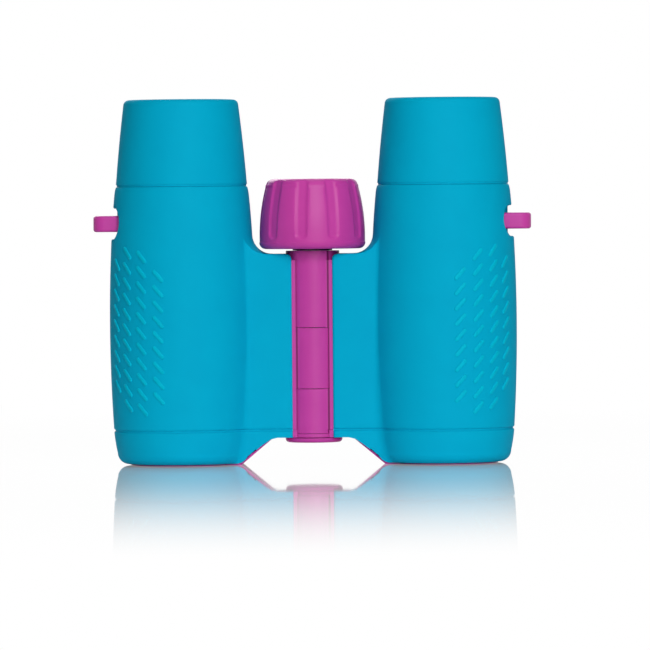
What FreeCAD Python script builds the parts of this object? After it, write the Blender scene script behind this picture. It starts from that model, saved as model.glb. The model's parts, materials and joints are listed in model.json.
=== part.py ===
import FreeCAD, Part
import math
import os

# Child's 6x21 roof-prism binoculars, standing on their objective ends.
# Millimetres, +Z up along the barrels, -Y toward the side that faces the viewer.
# Each shape is drawn on the right side (+X); the left side is its mirror image.

Vec = FreeCAD.Vector
FULL_TURN = 360.0
HALF_TURN = 180.0

# Driving sizes
cap_height = 9.25
body_height = 65.4
eyecup_height = 22.95
objective_d = 21.0
axle_r = 4.5
knob_r = 14.2
knob_height = 18.7
fold_angle = 70.0
focus_travel = 1.8

# Walls
cell_wall = 2.5
spigot_wall = 2.6
shell_wall = 2.05
armour_wall = 1.8
knuckle_wall = 2.65

# Clearances
running_fit = 0.05
slide_fit = 0.1
body_gap = 0.3
joint_gap = 0.2
seam_gap = 0.45
part_line = 0.1
knob_gap = 1.8
cut_over = 1.0

# Barrel radii, from the objective outward
aperture_r = objective_d / 2
guide_r = aperture_r + cell_wall
bore_r = guide_r + spigot_wall
belly_r = bore_r + shell_wall + armour_wall

# Barrel outline: how far each ring of the armour is drawn in from the belly
shoulder_draw = 0.45
neck_draw = 1.7
foot_draw = 0.85
toe_draw = 1.75
sole_draw = 5.35
shoulder_r = belly_r - shoulder_draw
neck_r = belly_r - neck_draw
foot_r = belly_r - foot_draw
toe_r = belly_r - toe_draw
sole_r = belly_r - sole_draw
shoulder_drop = 16.6
shoulder_swell_share = 0.62
belly_z = 32.0
toe_z = 3.2
plate_proud = 0.65
toe_bulge_shares = (0.8, 0.27)
foot_bulge = 0.1

# Places of the stack and of the barrels
seam_low_z = cap_height
seam_top_z = seam_low_z + body_height
top_z = seam_top_z + eyecup_height
half_x = shoulder_r + knob_gap + knob_r

# Hinge
hinge_y = -1.5
knuckle_r = axle_r + knuckle_wall
knuckle_gap = body_gap
axle_bore_r = 3.1
washer_t = 1.0
cover_overhang = 0.45
cover_r = knuckle_r + cover_overhang
cover_t = 1.4
cover_round = 1.0
cover_plug_h = 1.2
knob_washer_w = 0.8
knob_washer_r = axle_r + knob_washer_w
knob_washer_t = 0.3

# Wing between barrel and hinge
wing_front_step = 0.35
wing_rear_step = 1.65
wing_front_y = hinge_y - knuckle_r + wing_front_step
wing_rear_y = hinge_y + knuckle_r - wing_rear_step
wing_skin = 0.7
wing_drop = 18.45
wing_top_z = seam_top_z - wing_drop
wing_top_skin = 1.7
wing_edge_inset = 1.75
wing_edge_x = knuckle_r - wing_edge_inset
wing_plate_t = 2.05
wing_low_z = seam_low_z - wing_plate_t
slope_start_out = 3.45
slope_start_x = knuckle_r + slope_start_out
slope_end_in = 15.8
slope_end_x = half_x - slope_end_in
valley_r = 3.0
saddle_r = 5.0

# Focus arms
arm_t = 2.2
arm_w = 2.6
arm_lift = 0.35
arm_space = 0.4
left_arm_z = seam_low_z + focus_travel + arm_lift
right_arm_z = left_arm_z + arm_t + arm_space
arm_angle = 24.0
arm_elbow_out = 0.45
arm_bend_out = 4.85
arm_offset_y = 1.5
arm_end_gap = 0.6
arm_reach = knuckle_r + arm_elbow_out
arm_bend_x = knuckle_r + arm_bend_out
arm_y = hinge_y - arm_offset_y
arm_end_x = half_x - guide_r - arm_end_gap
lap_l = 4.6
slot_play_angle = 1.6
arm_screw_r = 0.7
arm_screw_head_r = 1.2
arm_screw_head_t = 0.7

# Room for the arms in the hinge and the wings
chamber_clear = 1.1
chamber_r = axle_r + chamber_clear
chamber_low_z = left_arm_z - focus_travel - joint_gap
chamber_top_z = right_arm_z + arm_t + focus_travel + joint_gap
channel_wall = 1.2
channel_play = 0.8
channel_front_y = wing_front_y + wing_skin + channel_wall
channel_rear_y = arm_y + arm_w / 2 + channel_play
channel_top_z = right_arm_z + arm_t + arm_screw_head_t + focus_travel + 2 * body_gap

# Hinge knuckles
knuckle_lift = 1.1
knuckle_end_wall = 2.0
mid_knuckle_h = 16.3
knuckle_proud = 0.8
knuckle_low_z = wing_low_z + knuckle_lift
knuckle_mid_z = chamber_top_z + knuckle_end_wall
knuckle_high_z = knuckle_mid_z + mid_knuckle_h
knuckle_top_z = wing_top_z + knuckle_proud

# Focus rod and screw
lead_screw_r = 2.2
rod_top_drop = 4.0
rod_top_z = knuckle_top_z - rod_top_drop
rod_bore_h = 17.0
screw_engaged_h = 15.0
screw_low_z = rod_top_z - screw_engaged_h
spigot_r = 1.6
clip_t = 0.5
clip_inset = 0.4
clip_r = axle_bore_r - clip_inset
spigot_tail = 0.4
spigot_low_z = left_arm_z - clip_t - spigot_tail

# Front cap and screw
sole_t = 1.2
spigot_h = 2.8
cap_screw_out = 2.15
cap_screw_x = knuckle_r + knuckle_gap + cap_screw_out
cap_screw_y = (channel_rear_y + wing_rear_y - wing_skin) / 2
cap_screw_r = 0.9
cap_screw_head_r = 1.6
cap_screw_head_t = 1.0
cap_screw_slot_w = 0.7
cap_screw_l = 9.0

# Objective
cell_clear = 2.0
cell_low_z = sole_t + focus_travel + cell_clear
cell_h = right_arm_z + arm_t + joint_gap - cell_low_z
cell_lip_t = 1.2
cell_lip_w = 0.7
lens_seat_t = 1.0
crown_edge_t = 1.8
crown_front_curve = 34.0
crown_back_curve = 26.0
flint_centre_t = 1.8
objective_ring_t = 1.4
objective_ring_w = 1.2

# Prism chamber
deck_depth = 12.65
deck_low_z = seam_top_z - deck_depth
deck_t = 4.0
cage_h = 31.0
cage_light_r = 7.5
cage_seat_h = 2.4
prism_share = 0.8333
roof_side_share = 1.4615
prism_size = bore_r * prism_share
roof_prism_side = prism_size * roof_side_share
prism_gap = 0.6
half_prism_height_share = 1.25

# Eyepiece, inward from the barrel's neck
neck_wall = 1.55
skirt_w = 1.5
sleeve_wall = 1.85
skirt_r = neck_r - armour_wall - neck_wall
sleeve_r = skirt_r - skirt_w
tube_r = sleeve_r - sleeve_wall - running_fit
sleeve_proud = 3.85
sleeve_top_z = seam_top_z + sleeve_proud
tube_wall = 1.3
tube_lift = 4.5
tube_low_z = deck_low_z + tube_lift
tube_h = 20.5
key_w = 2.0
key_h = 0.9
key_l = 3.0
key_drop = 1.5
key_top_z = sleeve_top_z - key_drop
key_low_z = key_top_z - key_l
key_travel = 1.0
field_lens_lift = 3.0
field_lens_z = tube_low_z + field_lens_lift
field_lens_t = 3.6
field_curve = 24.0
eye_lens_lift = 13.5
eye_lens_z = tube_low_z + eye_lens_lift
eye_lens_t = 4.6
eye_curve = 20.0
lens_lip = 1.0
eye_ring_t = 1.2

# Eyecup
core_wall = 1.6
core_r = sleeve_r + slide_fit + core_wall
core_h = 10.2
core_web_gap = 0.5
core_web_z = sleeve_top_z + core_web_gap
cup_foot_draw = 0.2
cup_waist_draw = 1.2
cup_rim_draw = 2.55
cup_foot_r = neck_r - cup_foot_draw
cup_waist_r = neck_r - cup_waist_draw
cup_rim_r = neck_r - cup_rim_draw
cup_waist_h = 11.35
cup_waist_z = seam_top_z + cup_waist_h
cup_rim_round = 1.5
cup_rim_flat = 0.55
cup_lip = 2.0
cup_bore_r = core_r - cup_lip
cup_mouth_r = cup_rim_r - cup_rim_round - cup_rim_flat

# Strap lug and its pocket
lug_drop = 10.1
lug_z = seam_top_z - lug_drop
lug_h = 4.3
lug_proud = 4.83
lug_half_y = 6.3
lug_band_t = 1.8
lug_corner_r = 3.0
lug_foot_x = half_x + skirt_r + joint_gap
lug_edge_r = 0.7
pocket_h = 8.2
pocket_half_y = 8.7
pocket_depth = 1.4

# Grip bars
bar_angles_share = (0.34, 0.259, 0.175, 0.091)
bar_counts = (9, 11, 11, 9)
bar_lift = 1.55
bar_top_z = wing_top_z + bar_lift
bar_low_lift = 7.9
bar_low_z = seam_low_z + bar_low_lift
bar_pitch = (bar_top_z - bar_low_z) / (max(bar_counts) - 1)
bar_step_down = 1.0
bar_rise = 2.4
bar_run = 2.2
bar_w = 0.88
bar_proud = 0.35
bar_root = 0.6

# Focus knob
knob_low_z = knuckle_top_z + knob_washer_t + 2 * slide_fit
knob_taper = 1.65
knob_top_r = knob_r - knob_taper
knob_wide_h = 3.6
knob_wide_z = knob_low_z + knob_wide_h
knob_top_round = 2.3
knob_low_round = 2.0
knob_wall = 2.0
knob_web_t = 4.0
hub_wall = 2.05
hub_r = axle_r + running_fit + hub_wall
hub_bore_h = 8.5
flute_count = 10
flute_depth = 0.65
flute_w = 3.3
flute_low = 3.4
flute_first_angle = -10.2
knob_cap_seat = 1.4
knob_cap_r = hub_r + knob_cap_seat
knob_cap_t = 1.0
knob_cap_recess = 1.2
knob_screw_r = 1.0
knob_screw_head_r = 2.6
knob_screw_head_t = 1.6
knob_screw_slot_w = 0.6
knob_screw_web = 3.6


def cylinder(radius, z0, z1, x=0, y=0):
    return Part.makeCylinder(radius, z1 - z0, Vec(x, y, z0))


def ring(outer, inner, z0, z1, x=0, y=0):
    hole = cylinder(inner, z0 - cut_over, z1 + cut_over, x, y)
    return cylinder(outer, z0, z1, x, y).cut(hole)


def block(x0, x1, y0, y1, z0, z1):
    return Part.makeBox(x1 - x0, y1 - y0, z1 - z0, Vec(x0, y0, z0))


def mirrored(shape):
    return shape.mirror(Vec(0, 0, 0), Vec(1, 0, 0))


def edges_through(steps):
    # A step is a point, for a line, or a pair of points, for an arc through the first.
    edges = []
    here = steps[0]
    for step in steps[1:]:
        if isinstance(step, tuple):
            edges.append(Part.Arc(here, step[0], step[1]).toShape())
            here = step[1]
        else:
            edges.append(Part.LineSegment(here, step).toShape())
            here = step
    return edges


def face_through(steps):
    end = steps[-1][1] if isinstance(steps[-1], tuple) else steps[-1]
    closing = [] if end == steps[0] else [steps[0]]
    return Part.Face(Part.Wire(edges_through(steps + closing)))


def turned(steps, x=0, y=0):
    # Points are (radius, height); the outline is spun about an upright axis at x, y.
    def place(step):
        if isinstance(step[0], tuple):
            return tuple(place(point) for point in step)
        return Vec(x + step[0], y, step[1])
    face = face_through([place(step) for step in steps])
    return face.revolve(Vec(x, y, 0), Vec(0, 0, 1), FULL_TURN)


def extruded_plan(steps, z0, z1):
    def place(step):
        if isinstance(step[0], tuple):
            return tuple(place(point) for point in step)
        return Vec(step[0], step[1], z0)
    return face_through([place(step) for step in steps]).extrude(Vec(0, 0, z1 - z0))


def extruded_front(points, y0, y1):
    # Points are (x, z) in the front view.
    steps = [Vec(point[0], y0, point[1]) for point in points]
    return face_through(steps).extrude(Vec(0, y1 - y0, 0))


def wedge(radius, start, end, z0, z1, x=0, y=0):
    # A sector of a disc between two bearings in degrees, counter-clockwise.
    body = Part.makeCylinder(radius, z1 - z0, Vec(0, 0, z0), Vec(0, 0, 1), end - start)
    body.rotate(Vec(0, 0, 0), Vec(0, 0, 1), start)
    body.translate(Vec(x, y, 0))
    return body


def sagitta(curve, radius):
    return curve - math.sqrt(curve * curve - radius * radius)


def arc_middle(p, q, bulge):
    # The point beside the middle of p-q, pushed outward by bulge.
    return ((p[0] + q[0]) / 2 + bulge, (p[1] + q[1]) / 2)


def barrel(skin, z0, z1):
    # Body part of the barrel: long belly arc and shoulder arc, drawn in by skin.
    foot = (foot_r - skin, z0)
    belly = (belly_r - skin, belly_z)
    shoulder = (shoulder_r - skin, seam_top_z - shoulder_drop)
    neck = (neck_r - skin, z1)
    middle = (neck[0] + (shoulder[0] - neck[0]) * shoulder_swell_share,
              (shoulder[1] + neck[1]) / 2)
    return turned([(0, z0), foot, (belly, shoulder), (middle, neck), (0, z1)], half_x)


def barrel_toe(skin, z0, z1):
    # Front ring of the barrel, with its round toe.
    foot = (foot_r - skin, z1)
    toe = (toe_r - skin, toe_z)
    sole = (min(sole_r, toe_r - skin - plate_proud), z0)
    side = arc_middle(foot, toe, foot_bulge)
    bend = (sole[0] + (toe[0] - sole[0]) * toe_bulge_shares[0],
            sole[1] + (toe[1] - sole[1]) * toe_bulge_shares[1])
    return turned([(0, z0), sole, (bend, toe), (side, foot), (0, z1)], half_x)


def wing_valley(side_y, fillet):
    # Where a fillet between the wing's face and the barrel touches each of them.
    outward = math.copysign(1, side_y)
    reach = foot_r + fillet
    centre_y = side_y + outward * fillet
    centre_x = half_x - math.sqrt(reach * reach - centre_y * centre_y)
    on_face = (centre_x, side_y)
    share = foot_r / reach
    on_barrel = (half_x + (centre_x - half_x) * share, centre_y * share)
    along_x = (on_face[0] + on_barrel[0]) / 2 - centre_x
    along_y = (on_face[1] + on_barrel[1]) / 2 - centre_y
    scale = fillet / math.hypot(along_x, along_y)
    middle = (centre_x + along_x * scale, centre_y + along_y * scale)
    return on_face, middle, on_barrel


def wing_plan(z0, z1):
    # Armour of the wing in plan, with filleted valleys and a rounded inner edge.
    front_face, front_mid, front_end = wing_valley(wing_front_y, valley_r)
    rear_face, rear_mid, rear_end = wing_valley(wing_rear_y, valley_r)
    bevel = wing_skin
    cut_corner = bevel * (1 - math.sqrt(2) / 2)
    start = (wing_edge_x, wing_front_y + bevel)
    corner = (wing_edge_x + cut_corner, wing_front_y + cut_corner)
    steps = [start, (corner, (wing_edge_x + bevel, wing_front_y)), front_face,
             (front_mid, front_end), (half_x, front_end[1]), (half_x, rear_end[1]), rear_end,
             (rear_mid, rear_face), (wing_edge_x, wing_rear_y)]
    return extruded_plan(steps, z0, z1)


def wing_slope(x0, lift, y0, y1, z1):
    # The wing's lower edge in front view: flat, then sloping down to the barrel's toe.
    points = [(x0, wing_low_z), (slope_start_x, wing_low_z), (slope_end_x, lift),
              (half_x, lift), (half_x, z1), (x0, z1)]
    return extruded_front(points, y0, y1)


def saddle():
    # Fillet from the wing's top up the barrel's side, following the barrel round.
    inner = shoulder_r - armour_wall
    outer = shoulder_r + saddle_r
    low = wing_top_z - cut_over
    high = wing_top_z + saddle_r
    bend = saddle_r * (1 - math.sqrt(2) / 2)
    middle = (shoulder_r + bend, wing_top_z + bend)
    steps = [(inner, low), (outer, low), (outer, wing_top_z), (middle, (shoulder_r, high)),
             (inner, high)]
    return turned(steps, half_x).common(wing_plan(low, high))


def belly_r_at(z):
    # Radius of the body armour below the shoulder, by the parabola through its three sizes.
    shoulder_z = seam_top_z - shoulder_drop
    rise = (shoulder_r - belly_r) / (shoulder_z - belly_z)
    fall = (belly_r - foot_r) / (belly_z - seam_low_z)
    bend = (rise - fall) / (shoulder_z - seam_low_z)
    return belly_r + (z - belly_z) * (rise + bend * (z - shoulder_z))


def grip_bar(bearing, z, side):
    # One raised bar with round ends, leaning outward at its top and rooted in the armour.
    outward = Vec(math.sin(bearing), -side * math.cos(bearing), 0)
    tangent = Vec(math.cos(bearing), side * math.sin(bearing), 0)
    along = tangent * (bar_run / 2) + Vec(0, 0, bar_rise / 2)
    tip = along * (bar_w / 2 / along.Length)
    across = outward.cross(tip)
    base = Vec(half_x, 0, z) + outward * (belly_r_at(z) - bar_root)
    low, high = base - along, base + along
    start = low - across
    steps = [start, high - across, (high + tip, high + across), low + across, (low - tip, start)]
    return face_through(steps).extrude(outward * (bar_root + bar_proud))


def grip_bars():
    # Four columns on the front outer side and the same on the rear.
    bars = []
    for column, count in enumerate(bar_counts):
        angle = math.radians(HALF_TURN) * bar_angles_share[column]
        top = bar_top_z - bar_step_down * column - (max(bar_counts) - count) * bar_pitch / 2
        for row in range(count):
            for side in (1, -1):
                bars.append(grip_bar(angle, top - row * bar_pitch, side))
    return bars


def lug_reach_x():
    return half_x + armour_r_at(lug_z) + lug_proud


def lug_band(grow, foot_x):
    # The strap lug's loop in plan, round-cornered outside and inside.
    half_y = lug_half_y + grow
    outer = rounded_arch(foot_x, lug_reach_x() + grow, half_y, lug_corner_r,
                         lug_z - lug_h / 2 - grow, lug_z + lug_h / 2 + grow)
    inner_r = lug_corner_r - lug_band_t
    inner = rounded_arch(foot_x - cut_over, lug_reach_x() - lug_band_t - grow,
                         half_y - lug_band_t - 2 * grow, inner_r,
                         lug_z - lug_h / 2 - cut_over, lug_z + lug_h / 2 + cut_over)
    return outer.cut(inner)


def rounded_arch(x0, x1, half_y, corner, z0, z1):
    nip = corner * (1 - math.sqrt(2) / 2)
    steps = [(x0, -half_y), (x1 - corner, -half_y), ((x1 - nip, -half_y + nip), (x1, -half_y + corner)),
             (x1, half_y - corner), ((x1 - nip, half_y - nip), (x1 - corner, half_y)), (x0, half_y)]
    return extruded_plan(steps, z0, z1)


def strap_lug():
    band = lug_band(0, lug_foot_x)
    rims = [edge for edge in band.Edges if on_lug_rim(edge)]
    return band.makeFillet(lug_edge_r, rims)


def on_lug_rim(edge):
    box = edge.BoundBox
    flat = box.ZLength < part_line
    centre = edge.CenterOfMass
    outside = abs(centre.y) > lug_half_y - lug_edge_r or centre.x > lug_reach_x() - lug_edge_r
    return flat and outside


def lug_pocket():
    # Oval recess in the armour round the lug, its floor parallel to the barrel.
    corner = pocket_h / 2
    middle = block(half_x, lug_reach_x(), -pocket_half_y + corner, pocket_half_y - corner,
                   lug_z - corner, lug_z + corner)
    ends = [Part.makeCylinder(corner, lug_reach_x() - half_x, Vec(half_x, y, lug_z), Vec(1, 0, 0))
            for y in (-pocket_half_y + corner, pocket_half_y - corner)]
    floor_r = armour_r_at(lug_z) - pocket_depth
    core = cylinder(floor_r, lug_z - pocket_h, lug_z + pocket_h, half_x)
    return middle.fuse(ends).cut(core)


def armour_r_at(z):
    rise = (z - (seam_top_z - shoulder_drop)) / shoulder_drop
    swell = (shoulder_swell_share - 0.5) * 4 * rise * (1 - rise)
    return shoulder_r - (shoulder_r - neck_r) * (rise - swell)


def shell_barrel():
    return barrel(armour_wall, seam_low_z + part_line / 2, seam_top_z - seam_gap / 2)


def armour():
    low = seam_low_z + seam_gap / 2
    high = seam_top_z - seam_gap / 2
    outside = barrel(0, low, high).fuse([wing_plan(low, wing_top_z), saddle()])
    inside = [shell_barrel(), wing_core(0, low - cut_over), knuckle_room(0, top_z),
              lug_band(slide_fit, half_x), lug_pocket()]
    skin = outside.cut(inside)
    return skin.fuse(grip_bars())


def wing_core(x0, z0):
    return block(x0, half_x, wing_front_y + wing_skin, wing_rear_y - wing_skin,
                 z0, wing_top_z - wing_top_skin)


def front_armour():
    high = seam_low_z - seam_gap / 2
    outside = barrel_toe(0, plate_proud, high)
    plan = wing_plan(0, high).common(wing_slope(0, plate_proud, wing_front_y - cut_over,
                                                wing_rear_y + cut_over + valley_r, high))
    return outside.fuse(plan).cut(front_cap_form())


def front_cap_form():
    z1 = seam_low_z - part_line / 2
    body = barrel_toe(armour_wall, plate_proud, z1)
    sole = cylinder(sole_r, 0, plate_proud, half_x)
    wing = wing_slope(0, 0, wing_front_y + wing_skin, wing_rear_y - wing_skin, z1)
    return body.fuse([sole, wing])


def knuckle_room(z0, z1):
    return cylinder(knuckle_r + knuckle_gap, z0, z1, 0, hinge_y)


def front_cap():
    high = seam_low_z - part_line / 2
    spigot = cylinder(bore_r - running_fit, seam_low_z - cut_over, seam_low_z + spigot_h, half_x)
    body = front_cap_form().fuse(spigot)
    cuts = [cylinder(guide_r, sole_t, high + spigot_h + cut_over, half_x),
            cylinder(aperture_r, -cut_over, sole_t + cut_over, half_x),
            knuckle_room(0, high + cut_over),
            block(knuckle_r, half_x - aperture_r, channel_front_y, channel_rear_y, high,
                  high + spigot_h + cut_over)]
    cuts.append(cap_screw(running_fit, high + cut_over))
    return body.cut(cuts)


def cap_screw(grow, z1):
    head = cylinder(cap_screw_head_r + grow, wing_low_z - cut_over, wing_low_z + cap_screw_head_t,
                    cap_screw_x, cap_screw_y)
    shank = cylinder(cap_screw_r + grow, wing_low_z, z1, cap_screw_x, cap_screw_y)
    return head.fuse(shank)


def cap_screw_part():
    whole = cap_screw(0, wing_low_z + cap_screw_l)
    half_slot = cap_screw_slot_w / 2
    slot = block(0, half_x, cap_screw_y - half_slot, cap_screw_y + half_slot,
                 wing_low_z - cut_over, wing_low_z + cap_screw_head_t / 2)
    flush = block(0, half_x, wing_front_y, wing_rear_y, wing_low_z - 2 * cut_over, wing_low_z)
    return whole.cut([slot, flush])


def body_shell(knuckles):
    # knuckles: height spans of this half's own knuckles; the other spans are cleared.
    low = seam_low_z + part_line / 2
    high = seam_top_z - seam_gap / 2
    body = shell_barrel().fuse([wing_core(0, low),
                                cylinder(sleeve_r, deck_low_z, sleeve_top_z, half_x)])
    body = body.cut(knuckle_rooms(knuckles))
    body = body.fuse([cylinder(knuckle_r, z0, z1, 0, hinge_y) for z0, z1 in knuckles])
    key_slot = block(half_x, half_x + tube_r + key_h + slide_fit, -key_w / 2 - slide_fit,
                     key_w / 2 + slide_fit, key_low_z - key_travel, sleeve_top_z + cut_over)
    cuts = [cylinder(bore_r, low - cut_over, deck_low_z, half_x),
            cylinder(tube_r + running_fit, deck_low_z - cut_over, sleeve_top_z + cut_over, half_x),
            ring(skirt_r, sleeve_r, deck_low_z + deck_t, high + cut_over, half_x),
            block(knuckle_r, half_x - bore_r + cut_over, channel_front_y, channel_rear_y,
                  low - cut_over, channel_top_z),
            cylinder(cap_screw_r, low - cut_over, wing_low_z + cap_screw_l, cap_screw_x, cap_screw_y),
            lug_band(running_fit, lug_foot_x - running_fit), key_slot, arm_passage()]
    return body.cut(cuts)


def arm_passage():
    # Opening from the hinge into the wing, wide enough for a focus arm.
    arm_half = arm_slot_half_angle()
    fan = wedge(arm_reach + arm_w, -arm_angle - arm_half, -arm_angle + arm_half,
                chamber_low_z, chamber_top_z, 0, hinge_y)
    return fan.common(block(0, half_x, channel_front_y, channel_rear_y, chamber_low_z, chamber_top_z))


def knuckle_rooms(knuckles):
    if len(knuckles) == 1:
        return [knuckle_room(0, knuckle_mid_z), knuckle_room(knuckle_high_z, top_z)]
    return [knuckle_room(knuckle_mid_z, knuckle_high_z)]


def right_body_shell():
    low_span = (knuckle_low_z, knuckle_mid_z - joint_gap / 2)
    high_span = (knuckle_high_z + joint_gap / 2, knuckle_top_z)
    body = body_shell([low_span, high_span])
    arm_half = arm_slot_half_angle()
    chamber = cylinder(chamber_r, chamber_low_z, chamber_top_z, 0, hinge_y)
    rear_slot = wedge(knuckle_r + knuckle_gap, HALF_TURN + arm_angle - fold_angle - arm_half,
                      HALF_TURN + arm_angle + arm_half, chamber_low_z, chamber_top_z, 0, hinge_y)
    axle_hole = cylinder(axle_r + running_fit, 0, top_z, 0, hinge_y)
    return body.cut([chamber, axle_hole, rear_slot])


def left_body_shell():
    span = (knuckle_mid_z + joint_gap / 2, knuckle_high_z - joint_gap / 2)
    body = mirrored(body_shell([span]))
    return body.cut(cylinder(axle_r, 0, top_z, 0, hinge_y))


def arm_slot_half_angle():
    half_width = arm_w / 2 + slide_fit
    return math.degrees(math.asin(half_width / chamber_r)) + slot_play_angle


def hinge_axle():
    washer_low = knuckle_low_z - washer_t - slide_fit
    high = knob_low_z + hub_bore_h - joint_gap
    tube = ring(axle_r, axle_bore_r, washer_low, high, 0, hinge_y)
    arm_half = math.degrees(math.asin((arm_w / 2 + slide_fit) / axle_bore_r)) + slot_play_angle
    right_slot = wedge(axle_r + cut_over, -arm_angle - arm_half, -arm_angle + fold_angle + arm_half,
                       chamber_low_z, chamber_top_z, 0, hinge_y)
    left_slot = wedge(axle_r + cut_over, HALF_TURN + arm_angle - arm_half,
                      HALF_TURN + arm_angle + arm_half, chamber_low_z, chamber_top_z, 0, hinge_y)
    return tube.cut([right_slot, left_slot])


def hinge_washer():
    high = knuckle_low_z - slide_fit
    return ring(knuckle_r, axle_r, high - washer_t, high, 0, hinge_y)


def hinge_cover():
    high = knuckle_low_z - slide_fit - washer_t
    low = high - cover_t
    bend = cover_round * (1 - math.sqrt(2) / 2)
    steps = [(0, low), (cover_r - cover_round, low),
             ((cover_r - bend, low + bend), (cover_r, low + cover_round)), (cover_r, high - joint_gap),
             (axle_r, high - joint_gap), (axle_r, high), (axle_bore_r, high),
             (axle_bore_r, high + cover_plug_h), (0, high + cover_plug_h)]
    return turned(steps, 0, hinge_y)


def knob_washer():
    low = knuckle_top_z + slide_fit
    return ring(knob_washer_r, axle_r, low, low + knob_washer_t, 0, hinge_y)


def rod_radius():
    return axle_bore_r - slide_fit


def focus_rod():
    step_z = right_arm_z + arm_t + body_gap
    rod = cylinder(rod_radius(), step_z, rod_top_z, 0, hinge_y)
    rod = rod.fuse(cylinder(spigot_r, spigot_low_z, step_z + cut_over, 0, hinge_y))
    groove = ring(rod_radius(), spigot_r - clip_t, left_arm_z - clip_t, left_arm_z, 0, hinge_y)
    bore = cylinder(lead_screw_r + running_fit, rod_top_z - rod_bore_h, rod_top_z + cut_over, 0, hinge_y)
    return rod.cut([bore, groove])


def rod_clip():
    # Snap ring in the groove below the lower arm, open at the front.
    body = ring(clip_r, spigot_r - clip_t, left_arm_z - clip_t, left_arm_z, 0, hinge_y)
    gap = block(-spigot_r / 2, spigot_r / 2, hinge_y - clip_r - cut_over, hinge_y, 0, top_z)
    return body.cut(gap)


def focus_arm(z, hub_bore):
    # Hub on the rod, a cranked neck and a half-thickness tongue over the cell's lug.
    lean = math.radians(arm_angle)
    start = (0, hinge_y)
    elbow = (arm_reach * math.cos(lean), hinge_y - arm_reach * math.sin(lean))
    bend = (arm_bend_x, arm_y)
    end = (arm_end_x - arm_w / 2, arm_y)
    bars = [link(start, elbow, z, z + arm_t), link(elbow, bend, z, z + arm_t),
            link(bend, end, z, z + arm_t)]
    hub = cylinder(rod_radius(), z, z + arm_t, 0, hinge_y)
    body = hub.fuse(bars)
    lap_x = arm_end_x - lap_l
    cuts = [cylinder(hub_bore, z - cut_over, z + arm_t + cut_over, 0, hinge_y),
            block(lap_x, half_x, arm_y - arm_w, arm_y + arm_w, z - cut_over, z + arm_t / 2),
            cylinder(arm_screw_r, z, z + arm_t + cut_over, arm_screw_x(), arm_y)]
    return body.cut(cuts)


def arm_screw_x():
    return arm_end_x - lap_l / 2


def link(p, q, z0, z1):
    # A flat bar with round ends between two points in plan.
    run = math.hypot(q[0] - p[0], q[1] - p[1])
    bar_body = Part.makeBox(run, arm_w, z1 - z0, Vec(0, -arm_w / 2, 0))
    bar_body.rotate(Vec(0, 0, 0), Vec(0, 0, 1), math.degrees(math.atan2(q[1] - p[1], q[0] - p[0])))
    bar_body.translate(Vec(p[0], p[1], z0))
    ends = [cylinder(arm_w / 2, z0, z1, point[0], point[1]) for point in (p, q)]
    return bar_body.fuse(ends)


def arm_screw(z):
    shank = cylinder(arm_screw_r, z, z + arm_t, arm_screw_x(), arm_y)
    head = cylinder(arm_screw_head_r, z + arm_t, z + arm_t + arm_screw_head_t, arm_screw_x(), arm_y)
    return shank.fuse(head)


def objective_cell(arm_z):
    # Sliding cell with its front lip, lens seat and the lug that the focus arm holds.
    r = objective_d / 2
    high = cell_low_z + cell_h
    body = cylinder(guide_r - slide_fit, cell_low_z, high, half_x)
    lug_x = arm_end_x - lap_l + running_fit
    lug = block(lug_x, half_x - r, arm_y - arm_w / 2, arm_y + arm_w / 2, arm_z, arm_z + arm_t / 2)
    body = body.fuse(lug)
    seat = cell_low_z + cell_lip_t + lens_seat_t
    cuts = [cylinder(r - cell_lip_w, cell_low_z - cut_over, high + cut_over, half_x),
            cylinder(r + running_fit, seat, high + cut_over, half_x),
            cylinder(arm_screw_r, arm_z - cut_over, arm_z + arm_t, arm_screw_x(), arm_y),
            block(half_x - guide_r - cut_over, arm_end_x + slide_fit, arm_y - arm_w, arm_y + arm_w,
                  arm_z + arm_t / 2, arm_z + arm_t + cut_over)]
    return body.cut(cuts)


def ball(curve, z):
    return Part.makeSphere(curve, Vec(half_x, 0, z))


def objective_crown():
    # Biconvex front lens, its edge on the cell's seat.
    r = objective_d / 2
    seat = cell_low_z + cell_lip_t + lens_seat_t
    front = seat - lip_sag() + crown_front_curve
    back = crown_back_z() - crown_back_curve
    blank = cylinder(r, seat - lip_sag(), crown_back_z() + cut_over, half_x)
    return blank.common(ball(crown_front_curve, front)).common(ball(crown_back_curve, back))


def lip_sag():
    # How far the front surface stands before the seat's edge.
    return sagitta(crown_front_curve, objective_d / 2 - cell_lip_w)


def crown_back_z():
    seat = cell_low_z + cell_lip_t + lens_seat_t
    return seat + crown_edge_t + sagitta(crown_back_curve, objective_d / 2)


def flint_top_z():
    return crown_back_z() + flint_centre_t


def objective_flint():
    # Flat-backed rear lens, cemented to the crown.
    seat = cell_low_z + cell_lip_t + lens_seat_t
    blank = cylinder(objective_d / 2, seat + crown_edge_t, flint_top_z(), half_x)
    return blank.cut(ball(crown_back_curve, crown_back_z() - crown_back_curve))


def objective_ring():
    r = objective_d / 2
    return ring(r + running_fit, r - objective_ring_w, flint_top_z(),
                flint_top_z() + objective_ring_t, half_x)


def half_prism_outline():
    # Entrance face level; exit face at 45 degrees; mirror face at 67.5 degrees, cut short.
    low = deck_low_z - cage_h + cage_seat_h
    left = half_x - prism_size / 2
    right = half_x + prism_size / 2
    rise = prism_size * half_prism_height_share
    steep = math.tan(math.radians(67.5))
    return [(left, low), (right, low), (right + rise / steep, low + rise), (left + rise, low + rise)]


def roof_prism_outline():
    # Isosceles 45 degree prism above the sloping air gap; level exit face on top.
    base = half_prism_outline()[0]
    shift = prism_gap / math.sqrt(2)
    foot = (base[0] - shift, base[1] + shift)
    slant = roof_prism_side / math.sqrt(2)
    apex = (foot[0] + slant, foot[1] + slant)
    return [foot, apex, (apex[0] - roof_prism_side, apex[1])]


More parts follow.
